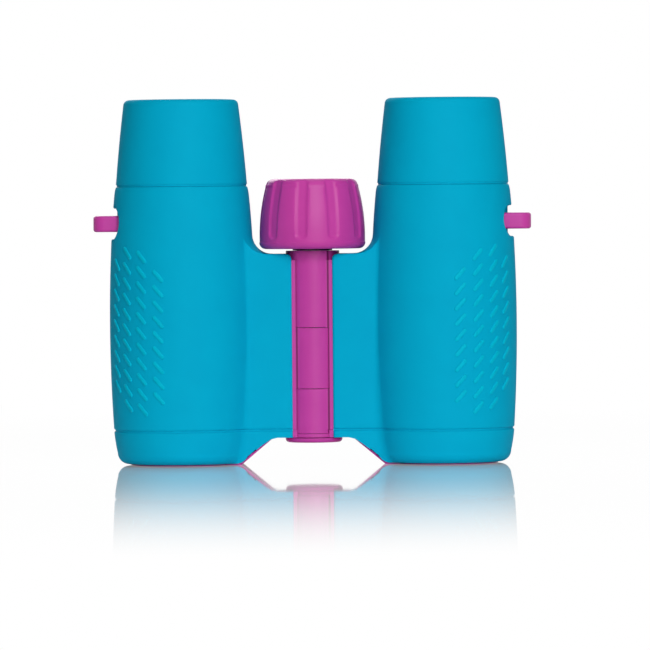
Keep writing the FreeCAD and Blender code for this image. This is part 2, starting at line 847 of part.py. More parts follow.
def prism_solid(points, grow):
    return extruded_front(points, -prism_size / 2 - grow, prism_size / 2 + grow)


def roof_prism():
    # The roof is cut on the face between the foot and the outer end of the exit face.
    outline = roof_prism_outline()
    body = prism_solid(outline, 0)
    foot, outer = outline[0], outline[2]
    length = math.hypot(outer[0] - foot[0], outer[1] - foot[1])
    bar_side = 2 * prism_size
    wedge_bar = Part.makeBox(length + 2 * prism_size, bar_side, bar_side, Vec(-prism_size, 0, 0))
    wedge_bar.rotate(Vec(0, 0, 0), Vec(1, 0, 0), -135)
    lean = math.degrees(math.atan2(outer[1] - foot[1], outer[0] - foot[0]))
    wedge_bar.rotate(Vec(0, 0, 0), Vec(0, 1, 0), -lean)
    wedge_bar.translate(Vec(foot[0], 0, foot[1]))
    return body.common(wedge_bar)


def prism_cage():
    low = deck_low_z - cage_h
    body = cylinder(bore_r - slide_fit, low, deck_low_z, half_x)
    pockets = [prism_solid(half_prism_outline(), running_fit),
               prism_solid(roof_prism_outline(), running_fit)]
    middle = [cylinder(cage_light_r, low - cut_over, deck_low_z + cut_over, half_x)]
    return body.cut(pockets + middle)


def eyepiece_tube():
    high = tube_low_z + tube_h
    inner = tube_r - tube_wall
    body = cylinder(tube_r, tube_low_z, high, half_x)
    body = body.fuse(block(half_x, half_x + tube_r + key_h, -key_w / 2, key_w / 2, key_low_z, key_top_z))
    cuts = [cylinder(inner - lens_lip, tube_low_z - cut_over, high + cut_over, half_x),
            cylinder(inner, tube_low_z - cut_over, field_lens_z + field_lens_t, half_x),
            cylinder(inner, eye_lens_z, high + cut_over, half_x)]
    return body.cut(cuts)


def biconvex(z, thickness, curve):
    r = tube_r - tube_wall
    blank = cylinder(r, z, z + thickness, half_x)
    return blank.common(ball(curve, z + curve)).common(ball(curve, z + thickness - curve))


def field_lens():
    return biconvex(field_lens_z, field_lens_t, field_curve * 2)


def eye_lens():
    return biconvex(eye_lens_z, eye_lens_t, eye_curve * 2)


def eyepiece_ring(z):
    r = tube_r - tube_wall
    return ring(r, r - lens_lip, z, z + eye_ring_t, half_x)


def eyecup_core():
    # Rigid carrier: skirt round the sleeve and a threaded web on the eyepiece tube.
    low = seam_top_z + seam_gap / 2
    body = cylinder(core_r, low, low + core_h, half_x)
    cuts = [cylinder(sleeve_r + slide_fit, low - cut_over, core_web_z, half_x),
            cylinder(tube_r + running_fit, low - cut_over, low + core_h + cut_over, half_x)]
    return body.cut(cuts)


def eyecup():
    # Rubber cup: tapered outside, rounded rim, mouth widening from its bore.
    low = seam_top_z + seam_gap / 2
    core_top = low + core_h
    bend = cup_rim_round * (1 - math.sqrt(2) / 2)
    rim_low = top_z - cup_rim_round
    steps = [(core_r, low), (cup_foot_r, low), (cup_waist_r, cup_waist_z), (cup_rim_r, rim_low),
             ((cup_rim_r - bend, top_z - bend), (cup_rim_r - cup_rim_round, top_z)),
             (cup_mouth_r, top_z), (cup_bore_r, core_top), (core_r, core_top)]
    return turned(steps, half_x)


def knob_side():
    # Radius of the arc that runs from the knob's widest ring to its top edge.
    rise = knob_low_z + knob_height - knob_top_round - knob_wide_z
    fall = knob_r - knob_top_r
    return (rise * rise + fall * fall) / (2 * fall)


def knob_r_at(z):
    return knob_r - knob_side() + math.sqrt(knob_side() ** 2 - (z - knob_wide_z) ** 2)


def knob_body():
    high = knob_low_z + knob_height
    shoulder = high - knob_top_round
    half_z = (knob_wide_z + shoulder) / 2
    bend_top = knob_top_round * (1 - math.sqrt(2) / 2)
    bend_low = knob_low_round * (1 - math.sqrt(2) / 2)
    steps = [(0, knob_low_z), (knob_r - knob_low_round, knob_low_z),
             ((knob_r - bend_low, knob_low_z + bend_low), (knob_r, knob_low_z + knob_low_round)),
             (knob_r, knob_wide_z), ((knob_r_at(half_z), half_z), (knob_top_r, shoulder)),
             ((knob_top_r - bend_top, high - bend_top), (knob_top_r - knob_top_round, high)), (0, high)]
    return turned(steps, 0, hinge_y)


def flute_cutter():
    # A round bar bent along the knob's side, with a ball at its lower end.
    cutter_r = (flute_w * flute_w / 4 + flute_depth * flute_depth) / (2 * flute_depth)
    out = cutter_r - flute_depth
    low = knob_low_z + flute_low + flute_w / 2
    high = knob_low_z + knob_height + cut_over
    half_z = (low + high) / 2
    points = [Vec(knob_r_at(z) + out, 0, z) for z in (low, half_z, high)]
    centre = Part.Circle(points[0], points[1], points[2]).Center
    start = points[0] - centre
    axis = Vec(0, 1, 0)
    circle = Part.Circle(points[0], axis.cross(start), cutter_r)
    angle = math.degrees(start.getAngle(points[2] - centre))
    face = Part.Face(Part.Wire(circle.toShape()))
    bent = face.revolve(centre, -axis, angle)
    return bent.fuse(Part.makeSphere(cutter_r, points[0]))


def focus_knob():
    high = knob_low_z + knob_height
    screw_top = knob_low_z + hub_bore_h + knob_screw_web
    cutter = flute_cutter()
    flutes = []
    for index in range(flute_count):
        copy = cutter.copy()
        bearing = -FULL_TURN / 4 + flute_first_angle + index * FULL_TURN / flute_count
        copy.rotate(Vec(0, 0, 0), Vec(0, 0, 1), bearing)
        copy.translate(Vec(0, hinge_y, 0))
        flutes.append(copy)
    cuts = [ring(knob_top_r - knob_wall, hub_r, knob_low_z - cut_over, high - knob_web_t, 0, hinge_y),
            cylinder(axle_r + running_fit, knob_low_z - cut_over, knob_low_z + hub_bore_h, 0, hinge_y),
            cylinder(lead_screw_r, knob_low_z, screw_top, 0, hinge_y),
            cylinder(knob_screw_r, knob_low_z, high, 0, hinge_y),
            cylinder(knob_screw_head_r + running_fit, high - knob_cap_recess - knob_screw_head_t,
                     high + cut_over, 0, hinge_y),
            cylinder(knob_cap_r + running_fit, high - knob_cap_recess, high + cut_over, 0, hinge_y)]
    return knob_body().cut(flutes + cuts)


def focus_screw():
    screw_top = knob_low_z + hub_bore_h + knob_screw_web
    body = cylinder(lead_screw_r, screw_low_z, screw_top, 0, hinge_y)
    hole = cylinder(knob_screw_r, screw_top - knob_screw_web, screw_top + cut_over, 0, hinge_y)
    return body.cut(hole)


def knob_screw():
    seat = knob_low_z + knob_height - knob_cap_recess - knob_screw_head_t
    screw_top = knob_low_z + hub_bore_h + knob_screw_web
    shank = cylinder(knob_screw_r, screw_top - knob_screw_web, seat + cut_over, 0, hinge_y)
    head = cylinder(knob_screw_head_r, seat, seat + knob_screw_head_t - running_fit, 0, hinge_y)
    half_slot = knob_screw_slot_w / 2
    slot = block(-knob_screw_head_r, knob_screw_head_r, hinge_y - half_slot, hinge_y + half_slot,
                 seat + knob_screw_head_t / 2, seat + knob_screw_head_t)
    return shank.fuse(head).cut(slot)


def knob_cap():
    low = knob_low_z + knob_height - knob_cap_recess
    return cylinder(knob_cap_r, low, low + knob_cap_t, 0, hinge_y)


def save(name, shape):
    solids = shape.Solids
    whole = solids[0] if len(solids) == 1 else Part.makeCompound(solids)
    if not whole.isValid() or not solids:
        print("not valid:", name)
    if len(solids) > 1:
        print(name, "has", len(solids), "solids")
    whole.exportStep(f"parts/{name}.step")


def save_pair(name, shape):
    save(f"right_{name}", shape)
    save(f"left_{name}", mirrored(shape))


def main():
    os.makedirs("parts", exist_ok=True)
    save("right_body_shell", right_body_shell())
    save("left_body_shell", left_body_shell())
    pairs = {"armour": armour(), "front_cap": front_cap(), "front_armour": front_armour(),
             "eyecup": eyecup(), "eyecup_core": eyecup_core(), "eyepiece_tube": eyepiece_tube(),
             "field_lens": field_lens(), "eye_lens": eye_lens(),
             "eyepiece_ring": eyepiece_ring(eye_lens_z + eye_lens_t),
             "prism_cage": prism_cage(), "roof_prism": roof_prism(),
             "half_prism": prism_solid(half_prism_outline(), 0),
             "objective_crown": objective_crown(), "objective_flint": objective_flint(),
             "objective_ring": objective_ring(), "strap_lug": strap_lug(),
             "cap_screw": cap_screw_part()}
    for name, shape in pairs.items():
        save_pair(name, shape)
    save("right_objective_cell", objective_cell(right_arm_z))
    save("left_objective_cell", mirrored(objective_cell(left_arm_z)))
    save("right_focus_arm", focus_arm(right_arm_z, spigot_r + running_fit))
    save("left_focus_arm", mirrored(focus_arm(left_arm_z, spigot_r)))
    save("right_arm_screw", arm_screw(right_arm_z))
    save("left_arm_screw", mirrored(arm_screw(left_arm_z)))
    save("hinge_axle", hinge_axle())
    save("hinge_washer", hinge_washer())
    save("hinge_cover", hinge_cover())
    save("knob_washer", knob_washer())
    save("focus_rod", focus_rod())
    save("rod_clip", rod_clip())
    save("focus_screw", focus_screw())
    save("focus_knob", focus_knob())
    save("knob_screw", knob_screw())
    save("knob_cap", knob_cap())


main()
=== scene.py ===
# %% [markdown]
# A child's binoculars, dressed for a studio picture. The solids of every part are already there:
# this file loads them, gives each a finish, and builds the parts whose skin needs more care than
# a solid can hold, such as the soft rubber armour. Everything is in metres, +Z up along the
# barrels, and the side with the hinge's face toward the camera is -Y.

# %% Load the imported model
import json
import math

import bmesh
import bpy
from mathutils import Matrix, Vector


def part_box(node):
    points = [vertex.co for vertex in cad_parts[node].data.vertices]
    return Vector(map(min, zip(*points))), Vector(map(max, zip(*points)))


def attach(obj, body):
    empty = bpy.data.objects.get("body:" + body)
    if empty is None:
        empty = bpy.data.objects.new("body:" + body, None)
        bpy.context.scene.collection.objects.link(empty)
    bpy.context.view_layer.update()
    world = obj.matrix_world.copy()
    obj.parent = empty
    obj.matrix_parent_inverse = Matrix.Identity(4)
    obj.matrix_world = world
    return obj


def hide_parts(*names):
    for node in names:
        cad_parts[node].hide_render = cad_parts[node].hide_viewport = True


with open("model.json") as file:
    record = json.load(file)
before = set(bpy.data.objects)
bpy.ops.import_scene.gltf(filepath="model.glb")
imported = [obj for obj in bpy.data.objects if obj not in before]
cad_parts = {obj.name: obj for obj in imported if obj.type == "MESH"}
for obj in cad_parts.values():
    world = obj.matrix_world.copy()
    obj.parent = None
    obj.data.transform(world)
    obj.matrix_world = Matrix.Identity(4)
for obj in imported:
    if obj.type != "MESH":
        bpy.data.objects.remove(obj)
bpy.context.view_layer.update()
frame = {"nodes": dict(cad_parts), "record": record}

MM = 0.001
scene = bpy.context.scene
scene.view_settings.view_transform = "Standard"

# %% [markdown]
# The camera stands where the photographer stood: a long lens far away, eye level just under the
# focus knob's top, a touch to the right. A long lens is why the two barrels look almost parallel.
# The photograph's scale at the barrels is a number of pixels per millimetre, and the lens follows
# from it and the distance.

# %% Camera
IMAGE_WIDTH = 650
SENSOR_MM = 36.0
pixels_per_mm = 3.736
camera_distance_mm = 1750.0
eye_level_mm = 70.5
yaw_degrees = 2.0
roll_degrees = 0.5
centre_column = 313.3
ground_row = 463.3
CLIP_NEAR_M = 0.1
CLIP_FAR_M = 20.0


def aim_camera():
    data = bpy.data.cameras.new("camera")
    camera = bpy.data.objects.new("camera", data)
    scene.collection.objects.link(camera)
    scene.camera = camera
    data.sensor_width = SENSOR_MM
    data.lens = pixels_per_mm * camera_distance_mm * SENSOR_MM / IMAGE_WIDTH
    data.clip_start = CLIP_NEAR_M
    data.clip_end = CLIP_FAR_M
    middle = IMAGE_WIDTH / 2
    yaw = math.radians(yaw_degrees)
    right = Vector((math.cos(yaw), math.sin(yaw), 0))
    aim = right * ((middle - centre_column) / pixels_per_mm) * MM
    aim.z = (ground_row - middle) / pixels_per_mm * MM
    place = Vector((math.sin(yaw), -math.cos(yaw), 0)) * camera_distance_mm * MM
    camera.location = Vector((place.x, place.y, eye_level_mm * MM)) + right * aim.dot(right)
    look = (aim - camera.location).to_track_quat("-Z", "Y")
    camera.rotation_euler = look.to_euler()
    camera.rotation_euler.rotate_axis("Z", -math.radians(roll_degrees))
    return camera


camera = aim_camera()
print("lens in mm:", round(camera.data.lens, 1))

# %% [markdown]
# Finishes are node trees. One function turns an sRGB hex colour, as a paint chart gives it, into
# the linear values that a renderer works in. One small function adds a node with its inputs and its
# settings, so that each material below reads as a short recipe. An input is a value, an output of
# another node, or a whole node, which then gives its first output.

# %% Helpers for finishes


def linear(hex_colour):
    # The sRGB curve: a straight piece near black, and a power above it.
    channels = [int(hex_colour[i:i + 2], 16) / 255 for i in (1, 3, 5)]
    return [c / 12.92 if c <= 0.04045 else ((c + 0.055) / 1.055) ** 2.4 for c in channels] + [1.0]


def add(tree, kind, inputs=None, **settings):
    node = tree.nodes.new(kind)
    for name, value in settings.items():
        setattr(node, name, value)
    for name, value in (inputs or {}).items():
        if isinstance(value, bpy.types.Node):
            value = value.outputs[0]
        if isinstance(value, bpy.types.NodeSocket):
            tree.links.new(value, node.inputs[name])
        else:
            node.inputs[name].default_value = value
    return node


def new_finish(name):
    # An empty material and the place of each point on the piece, in metres.
    material = bpy.data.materials.new(name)
    material.use_nodes = True
    tree = material.node_tree
    tree.nodes.clear()
    return material, tree, add(tree, "ShaderNodeTexCoord").outputs["Object"]


def per_metre(feature_mm):
    # The scale of a noise whose blotches are about this many millimetres across.
    return 1 / (feature_mm * MM)


print("linear value of mid grey:", round(linear("#808080")[0], 3))

# %% [markdown]
# The armour is thermoplastic rubber moulded over the body. Its soft-touch finish comes from a
# finely etched mould: the highlight is broad and very dull, and the colour stays nearly even. The
# etched grain is finer than a pixel, so it is drawn a little coarser than life. Etching also
# scatters most of the mirror light, so only a trace of the gloss of plain rubber is left. One
# recipe serves all that comes out of a mould: a soft cloud in the colour, and a fine grain that
# moves the roughness and the relief together.

# %% Soft-touch rubber
RUBBER_MOULD = {"cloud_mm": 9, "grain_mm": 0.35, "depth_mm": 0.004, "spread": 0.06,
                "ior": 1.5, "gloss": 0.035}


def moulded_finish(name, low, high, roughness, mould):
    material, tree, place = new_finish(name)
    cloud = add(tree, "ShaderNodeTexNoise", {
        "Vector": place, "Scale": per_metre(mould["cloud_mm"]), "Detail": 3.0})
    colour = add(tree, "ShaderNodeMixRGB", {
        "Fac": cloud, "Color1": linear(low), "Color2": linear(high)})
    grain = add(tree, "ShaderNodeTexNoise", {
        "Vector": place, "Scale": per_metre(mould["grain_mm"]), "Detail": 3.0})
    dull = add(tree, "ShaderNodeMapRange", {
        "Value": grain, "To Min": roughness - mould["spread"],
        "To Max": roughness + mould["spread"]})
    relief = add(tree, "ShaderNodeBump", {"Height": grain, "Distance": mould["depth_mm"] * MM})
    shader = add(tree, "ShaderNodeBsdfPrincipled", {
        "Base Color": colour, "Roughness": dull, "Normal": relief,
        "IOR": mould["ior"], "Specular IOR Level": mould["gloss"]})
    add(tree, "ShaderNodeOutputMaterial", {"Surface": shader})
    return material


rubber = moulded_finish("moulded_soft_touch_rubber", "#00a2c7", "#00abcd", 0.68, RUBBER_MOULD)
# The ribs' rubber: smoother, and its colour painted lighter as a painted highlight.
rib_rubber_painted_lighter = moulded_finish("soft_touch_rubber_smoother_painted_lighter", "#00b0cd", "#00b8d2", 0.55,
                        RUBBER_MOULD)
print("rubber finishes:", rubber.name, rib_rubber_painted_lighter.name)

# %% [markdown]
# The hinge, knob, caps and strap loops are ABS, injection moulded in a mould with a light satin
# texture. It is smoother than the rubber, so it holds a soft but clear highlight.

# %% Moulded ABS
ABS_MOULD = {"cloud_mm": 6, "grain_mm": 0.25, "depth_mm": 0.003, "spread": 0.05,
             "ior": 1.53, "gloss": 0.2}

magenta = moulded_finish("satin_moulded_abs", "#bb3898", "#c5409f", 0.4, ABS_MOULD)
black = moulded_finish("matt_black_abs", "#08080a", "#0e0e10", 0.6, ABS_MOULD)
print("ABS finishes:", magenta.name, black.name)

# %% [markdown]
# Along each side of the hinge tube runs a narrow moulded groove. Little light reaches its bottom,
# so its shade is painted into the plastic as a darker line half a millimetre wide. The solids have
# no such groove, so the shells' finish gets this painted shade, at a fixed place on each shell.

# %% ABS with painted shade beside the hinge
# Painted shade: the colour of the dark line beside the hinge tube, and where that line lies.
GROOVE_PAINTED_SHADE = "#6a0050"
SHADE_LINE_CORE_MM = 0.12
SHADE_LINE_EDGE_MM = 0.38
SHADE_LINE_X_MM = {"left_body_shell": -4.15, "right_body_shell": 4.25}


def abs_with_painted_shade(name, shade_line_mm):
    material = magenta.copy()
    material.name = name
    tree = material.node_tree
    shader = next(node for node in tree.nodes if node.type == "BSDF_PRINCIPLED")
    place = next(node for node in tree.nodes if node.type == "TEX_COORD").outputs["Object"]
    plain = shader.inputs["Base Color"].links[0].from_socket
    across = add(tree, "ShaderNodeSeparateXYZ", {"Vector": place})
    aside = add(tree, "ShaderNodeMath", {0: across, 1: shade_line_mm * MM}, operation="SUBTRACT")
    distance = add(tree, "ShaderNodeMath", {0: aside}, operation="ABSOLUTE")
    in_painted_shade = add(tree, "ShaderNodeMapRange", {
        "Value": distance, "From Min": SHADE_LINE_CORE_MM * MM, "From Max": SHADE_LINE_EDGE_MM * MM,
        "To Min": 1.0, "To Max": 0.0})
    # Painted shade: the base colour turns dark along the line beside the hinge tube.
    shaded_colour = add(tree, "ShaderNodeMixRGB", {
        "Fac": in_painted_shade, "Color1": plain, "Color2": linear(GROOVE_PAINTED_SHADE)})
    tree.links.new(shaded_colour.outputs[0], shader.inputs["Base Color"])
    return material


# Each body shell gets a copy of the ABS with this painted shade line.
painted_shade_finishes = {node: abs_with_painted_shade("satin_abs_painted_shade_" + node, x) for node, x in SHADE_LINE_X_MM.items()}
print("shell finishes:", [finish.name for finish in painted_shade_finishes.values()])

# %% [markdown]
# Inside are steel pins and screws, an alloy rod and arms, and a brass screw. They hardly show, but
# they are metals all the same: full metallic, with fine turned or drawn streaks in the roughness.
# The streaks are a noise that is squeezed along the part's height. The spring washer under the
# knob is blued steel, made nearly black partly as painted shade under the knob, and shows as the
# dark line there.

# %% Metals
STREAK_MM = 1.2
STREAK_SQUEEZE = 12.0
METAL_ROUGHNESS_SPREAD = 0.08


def streaked_metal(name, low, high, roughness):
    material, tree, place = new_finish(name)
    squeezed = add(tree, "ShaderNodeMapping", {
        "Vector": place, "Scale": (1.0, 1.0, STREAK_SQUEEZE)})
    streak = add(tree, "ShaderNodeTexNoise", {
        "Vector": squeezed, "Scale": per_metre(STREAK_MM), "Detail": 4.0})
    colour = add(tree, "ShaderNodeMixRGB", {
        "Fac": streak, "Color1": linear(low), "Color2": linear(high)})
    drawn = add(tree, "ShaderNodeMapRange", {
        "Value": streak, "To Min": roughness - METAL_ROUGHNESS_SPREAD,
        "To Max": roughness + METAL_ROUGHNESS_SPREAD})
    shader = add(tree, "ShaderNodeBsdfPrincipled", {
        "Base Color": colour, "Roughness": drawn, "Metallic": 1.0})
    add(tree, "ShaderNodeOutputMaterial", {"Surface": shader})
    return material


steel = streaked_metal("bright_drawn_steel", "#a9abae", "#c6c8cb", 0.3)
# Blued steel, made nearly black partly as painted shade under the knob.
blued_steel_and_shade = streaked_metal("blued_steel_and_painted_shade", "#0b0b0d", "#141417", 0.45)
alloy = streaked_metal("die_cast_zinc_alloy", "#9b9da0", "#b4b6b8", 0.42)
brass = streaked_metal("turned_brass", "#b9924a", "#cfa95c", 0.28)
print("metals:", steel.name, blued_steel_and_shade.name, alloy.name, brass.name)

# %% [markdown]
# The lenses are optical glass with an anti-reflection coating, which throws back a faint blue or
# purple tint. Real glass refracts, so the shader transmits light at the index of crown glass, and
# a thin coat carries the tint. A trace of haze in the roughness is what polishing leaves.

# %% Coated glass
GLASS_CLOUD_MM = 14
GLASS_HAZE = 0.03
CROWN_GLASS_IOR = 1.517


def coated_glass():
    material, tree, place = new_finish("coated_optical_glass")
    haze = add(tree, "ShaderNodeTexNoise", {
        "Vector": place, "Scale": per_metre(GLASS_CLOUD_MM), "Detail": 1.0})
    colour = add(tree, "ShaderNodeMixRGB", {
        "Fac": haze, "Color1": linear("#eef4fb"), "Color2": linear("#f6f8ff")})
    polish = add(tree, "ShaderNodeMapRange", {"Value": haze, "To Min": 0.0, "To Max": GLASS_HAZE})
    shader = add(tree, "ShaderNodeBsdfPrincipled", {
        "Base Color": colour, "Roughness": polish, "IOR": CROWN_GLASS_IOR,
        "Transmission Weight": 1.0, "Coat Weight": 0.5, "Coat Tint": linear("#8f7bd8")})
    add(tree, "ShaderNodeOutputMaterial", {"Surface": shader})
    return material


glass = coated_glass()
print("glass:", glass.name)

# %% [markdown]
# Every solid of the model gets a finish from its material slot, so the parts that keep their own
# solid, such as the caps, loops, lenses and screws, need nothing more. Three parts have a finish
# of their own: the two body shells with the painted shade of their grooves, and the blued washer
# under the knob, made nearly black partly as painted shade.

# %% Give every solid its finish
FINISH = {"soft_rubber": rubber, "magenta_plastic": magenta, "black_plastic": black,
          "lens_glass": glass, "steel": steel, "aluminium_alloy": alloy, "brass_screw": brass}
# The shells' finishes carry painted shade; the washer's near-black is partly painted shade.
OWN_FINISH = dict(painted_shade_finishes, knob_washer=blued_steel_and_shade)


def finish_solids():
    for part in frame["record"]["subparts"]:
        solid = frame["nodes"][part["node"]]
        solid.data.materials.clear()
        finish = OWN_FINISH.get(part["node"], FINISH[part["material_slot"]])
        solid.data.materials.append(finish)


finish_solids()

# %% [markdown]
# The photograph has a white background and little light from the sides. The world gives both: the
# camera, glossy and transmission rays see it white, and every other ray sees only a faint fill. So
# the white background isn't more light on the object.

# %% Studio world
FILL = 0.03


def studio_world():
    world = bpy.data.worlds.new("studio")
    scene.world = world
    world.use_nodes = True
    tree = world.node_tree
    tree.nodes.clear()
    ray = add(tree, "ShaderNodeLightPath")
    straight = add(tree, "ShaderNodeMath", {
        0: ray.outputs["Is Camera Ray"],
        1: ray.outputs["Is Transmission Ray"]}, operation="MAXIMUM")
    seen = add(tree, "ShaderNodeMath", {
        0: straight, 1: ray.outputs["Is Glossy Ray"]}, operation="MAXIMUM")
    fill = add(tree, "ShaderNodeBackground", {"Color": linear("#ffffff"), "Strength": FILL})
    white = add(tree, "ShaderNodeBackground", {"Color": linear("#ffffff"), "Strength": 1.0})
    mix = add(tree, "ShaderNodeMixShader", {"Fac": seen, 1: fill, 2: white})
    add(tree, "ShaderNodeOutputWorld", {"Surface": mix})


studio_world()
print("world:", scene.world.name, "fill:", FILL)

# %% [markdown]
# The photograph was lit like a catalogue picture: one large soft box in front and a little to the
# right, so that the barrels turn darker toward their sides. A weaker box overhead catches the
# rims, a faint one opens the right side, and one behind only serves the views from the back. A
# large lamp makes soft shadows. Each one is aimed at the middle of the object.

# %% Lamps
LAMP_AIM = (0, 0, 0.05)
LAMPS = (
    # name, place in metres, width and height in metres, power in watts
    ("front_box", (0.22, -1.14, 0.5), 0.45, 0.7, 10.1),
    ("top_box", (0.05, -0.1, 1.25), 0.7, 0.7, 3.2),
    ("right_box", (0.65, -0.95, 0.45), 0.3, 0.7, 0.6),
    ("back_box", (-0.3, 1.2, 0.7), 0.9, 0.7, 7.0),
)


def soft_box(name, place, width, height, power):
    data = bpy.data.lights.new(name, "AREA")
    data.shape = "RECTANGLE"
    data.size = width
    data.size_y = height
    data.energy = power
    lamp = bpy.data.objects.new(name, data)
    scene.collection.objects.link(lamp)
    lamp.location = place
    aim = Vector(LAMP_AIM) - Vector(place)
    lamp.rotation_euler = aim.to_track_quat("-Z", "Y").to_euler()
    return lamp


print("lamps:", [soft_box(*lamp).name for lamp in LAMPS])

# %% [markdown]
# The table is polished white plastic. It mirrors the feet, most at this low angle as Fresnel's law
# says, and the picture fades to white with distance from the feet. The camera sees most of the
# matt base as plain white, and the rest as lit by the lamps, so a trace of the shadow stays.

# %% Polished table
TABLE_HALF_MM = 3000.0
TABLE_CLOUD_MM = 300
TABLE_IOR = 1.5
TABLE_ROUGHNESS = 0.03
MIRROR_NEAR_MM = 60.0
MIRROR_FAR_MM = 470.0
CLEAN_FAR_MM = 500.0
CLEAN_SHARE = 0.93


def polished_table():
    material, tree, place = new_finish("polished_white_table")
    away = add(tree, "ShaderNodeVectorMath", {0: place}, operation="LENGTH").outputs["Value"]
    cloud = add(tree, "ShaderNodeTexNoise", {
        "Vector": place, "Scale": per_metre(TABLE_CLOUD_MM), "Detail": 1.0})
    colour = add(tree, "ShaderNodeMixRGB", {
        "Fac": cloud, "Color1": linear("#f4f4f4"), "Color2": linear("#fbfbfb")})
    matt = add(tree, "ShaderNodeBsdfDiffuse", {"Color": colour})
    white = add(tree, "ShaderNodeEmission", {"Color": linear("#ffffff"), "Strength": 1.0})
    clean = add(tree, "ShaderNodeMapRange", {
        "Value": away, "From Min": 0.0, "From Max": CLEAN_FAR_MM * MM,
        "To Min": CLEAN_SHARE, "To Max": 1.0}, interpolation_type="SMOOTHSTEP")
    camera_ray = add(tree, "ShaderNodeLightPath").outputs["Is Camera Ray"]
    seen_clean = add(tree, "ShaderNodeMath", {0: camera_ray, 1: clean}, operation="MULTIPLY")
    base = add(tree, "ShaderNodeMixShader", {"Fac": seen_clean, 1: matt, 2: white})
    mirror = add(tree, "ShaderNodeBsdfGlossy", {
        "Color": linear("#ffffff"), "Roughness": TABLE_ROUGHNESS})
    fading = add(tree, "ShaderNodeMapRange", {
        "Value": away, "From Min": MIRROR_NEAR_MM * MM, "From Max": MIRROR_FAR_MM * MM,
        "To Min": 1.0, "To Max": 0.0}, interpolation_type="SMOOTHSTEP")
    fresnel = add(tree, "ShaderNodeFresnel", {"IOR": TABLE_IOR})
    share = add(tree, "ShaderNodeMath", {0: fresnel, 1: fading}, operation="MULTIPLY")
    mix = add(tree, "ShaderNodeMixShader", {"Fac": share, 1: base, 2: mirror})
    add(tree, "ShaderNodeOutputMaterial", {"Surface": mix})
    return material


def studio_floor():
    mesh = bpy.data.meshes.new("floor")
    half = TABLE_HALF_MM * MM
    corners = [(-half, -half, 0), (half, -half, 0), (half, half, 0), (-half, half, 0)]
    mesh.from_pydata(corners, [], [(0, 1, 2, 3)])
    floor = bpy.data.objects.new("floor", mesh)
    scene.collection.objects.link(floor)
    mesh.materials.append(polished_table())
    return floor


floor = studio_floor()
print("table width in mm:", round(floor.dimensions.x / MM))

# %% [markdown]
# Every piece below is made the same way: points in millimetres and faces that name them. One
# function welds points that fall together, turns all faces outward, makes the object, and says
# which body carries it. Faces that meet at less than the given angle are shaded as one curve.

# %% Make a piece
WELD_MM = 0.0005
SMOOTH_DEGREES = 32.0


def shade(piece, degrees):
    for polygon in piece.data.polygons:
        polygon.use_smooth = True
    piece.data.set_sharp_from_angle(angle=math.radians(degrees))


def make_piece(name, points, faces, material, body, smooth_degrees=SMOOTH_DEGREES):
    shape = bmesh.new()
    corners = [shape.verts.new([c * MM for c in point]) for point in points]
    for face in faces:
        shape.faces.new([corners[i] for i in face])
    bmesh.ops.remove_doubles(shape, verts=shape.verts, dist=WELD_MM * MM)
    bmesh.ops.dissolve_degenerate(shape, edges=shape.edges, dist=WELD_MM * MM)
    bmesh.ops.recalc_face_normals(shape, faces=shape.faces)
    mesh = bpy.data.meshes.new(name)
    shape.to_mesh(mesh)
    shape.free()
    piece = bpy.data.objects.new(name, mesh)
    scene.collection.objects.link(piece)
    mesh.materials.append(material)
    shade(piece, smooth_degrees)
    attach(piece, body)
    return piece


def apply_modifier(piece, kind, **settings):
    modifier = piece.modifiers.new(kind.lower(), kind)
    for name, value in settings.items():
        setattr(modifier, name, value)
    graph = bpy.context.evaluated_depsgraph_get()
    mesh = bpy.data.meshes.new_from_object(piece.evaluated_get(graph))
    old = piece.data
    piece.modifiers.clear()
    piece.data = mesh
    bpy.data.meshes.remove(old)
    return piece


print("points closer than this are welded, in mm:", WELD_MM)

# %% [markdown]
# Several parts of this object are turned shapes, and the two halves are mirror images. So a few
# small tools come next: one joins rows of points into a skin, one bends a corner into an arc, one
# spins an outline, and one gives a right-hand shape to the left side.

# %% Rows, arcs and turned shapes


def skin(rows, closed_rows, first=0):
    # Faces between neighbouring rows of points that all have the same length.
    width = len(rows[0])
    faces = []
    for r in range(len(rows) - 1):
        for c in range(width if closed_rows else width - 1):
            a = first + r * width + c
            b = first + r * width + (c + 1) % width
            faces.append((a, b, b + width, a + width))
    return faces


def arc_points(centre, radius, start, end, steps):
    # Points on a circle from one bearing to the other, in degrees, both ends included.
    points = []
    for i in range(steps + 1):
        angle = math.radians(start + (end - start) * i / steps)
        points.append((centre[0] + radius * math.cos(angle), centre[1] + radius * math.sin(angle)))
    return points


def lathe(profile, centre, segments):
    # Spins a closed outline of (radius, height) about an upright axis.
    rows = []
    for i in range(segments):
        angle = 2 * math.pi * i / segments
        rows.append([(centre[0] + r * math.cos(angle), centre[1] + r * math.sin(angle), z)
                     for r, z in profile])
    rows.append(rows[0])
    return [point for row in rows for point in row], skin(rows, True)


def mirrored(points):
    return [(-x, y, z) for x, y, z in points]


quarter_end = arc_points((0, 0), 1, 0, 90, 4)[-1]
print("a quarter turn from (1, 0) ends at:", [round(c, 6) for c in quarter_end])

# %% [markdown]
# Nothing is measured twice: the places of the armour, the seams, the knob and the hinge are read
# from the boxes of the solids. What a box can't tell, such as a rounding, is given where it's used.

# %% Sizes read from the solids


def span_mm(node):
    low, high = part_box(node)
    return [c / MM for c in low], [c / MM for c in high]


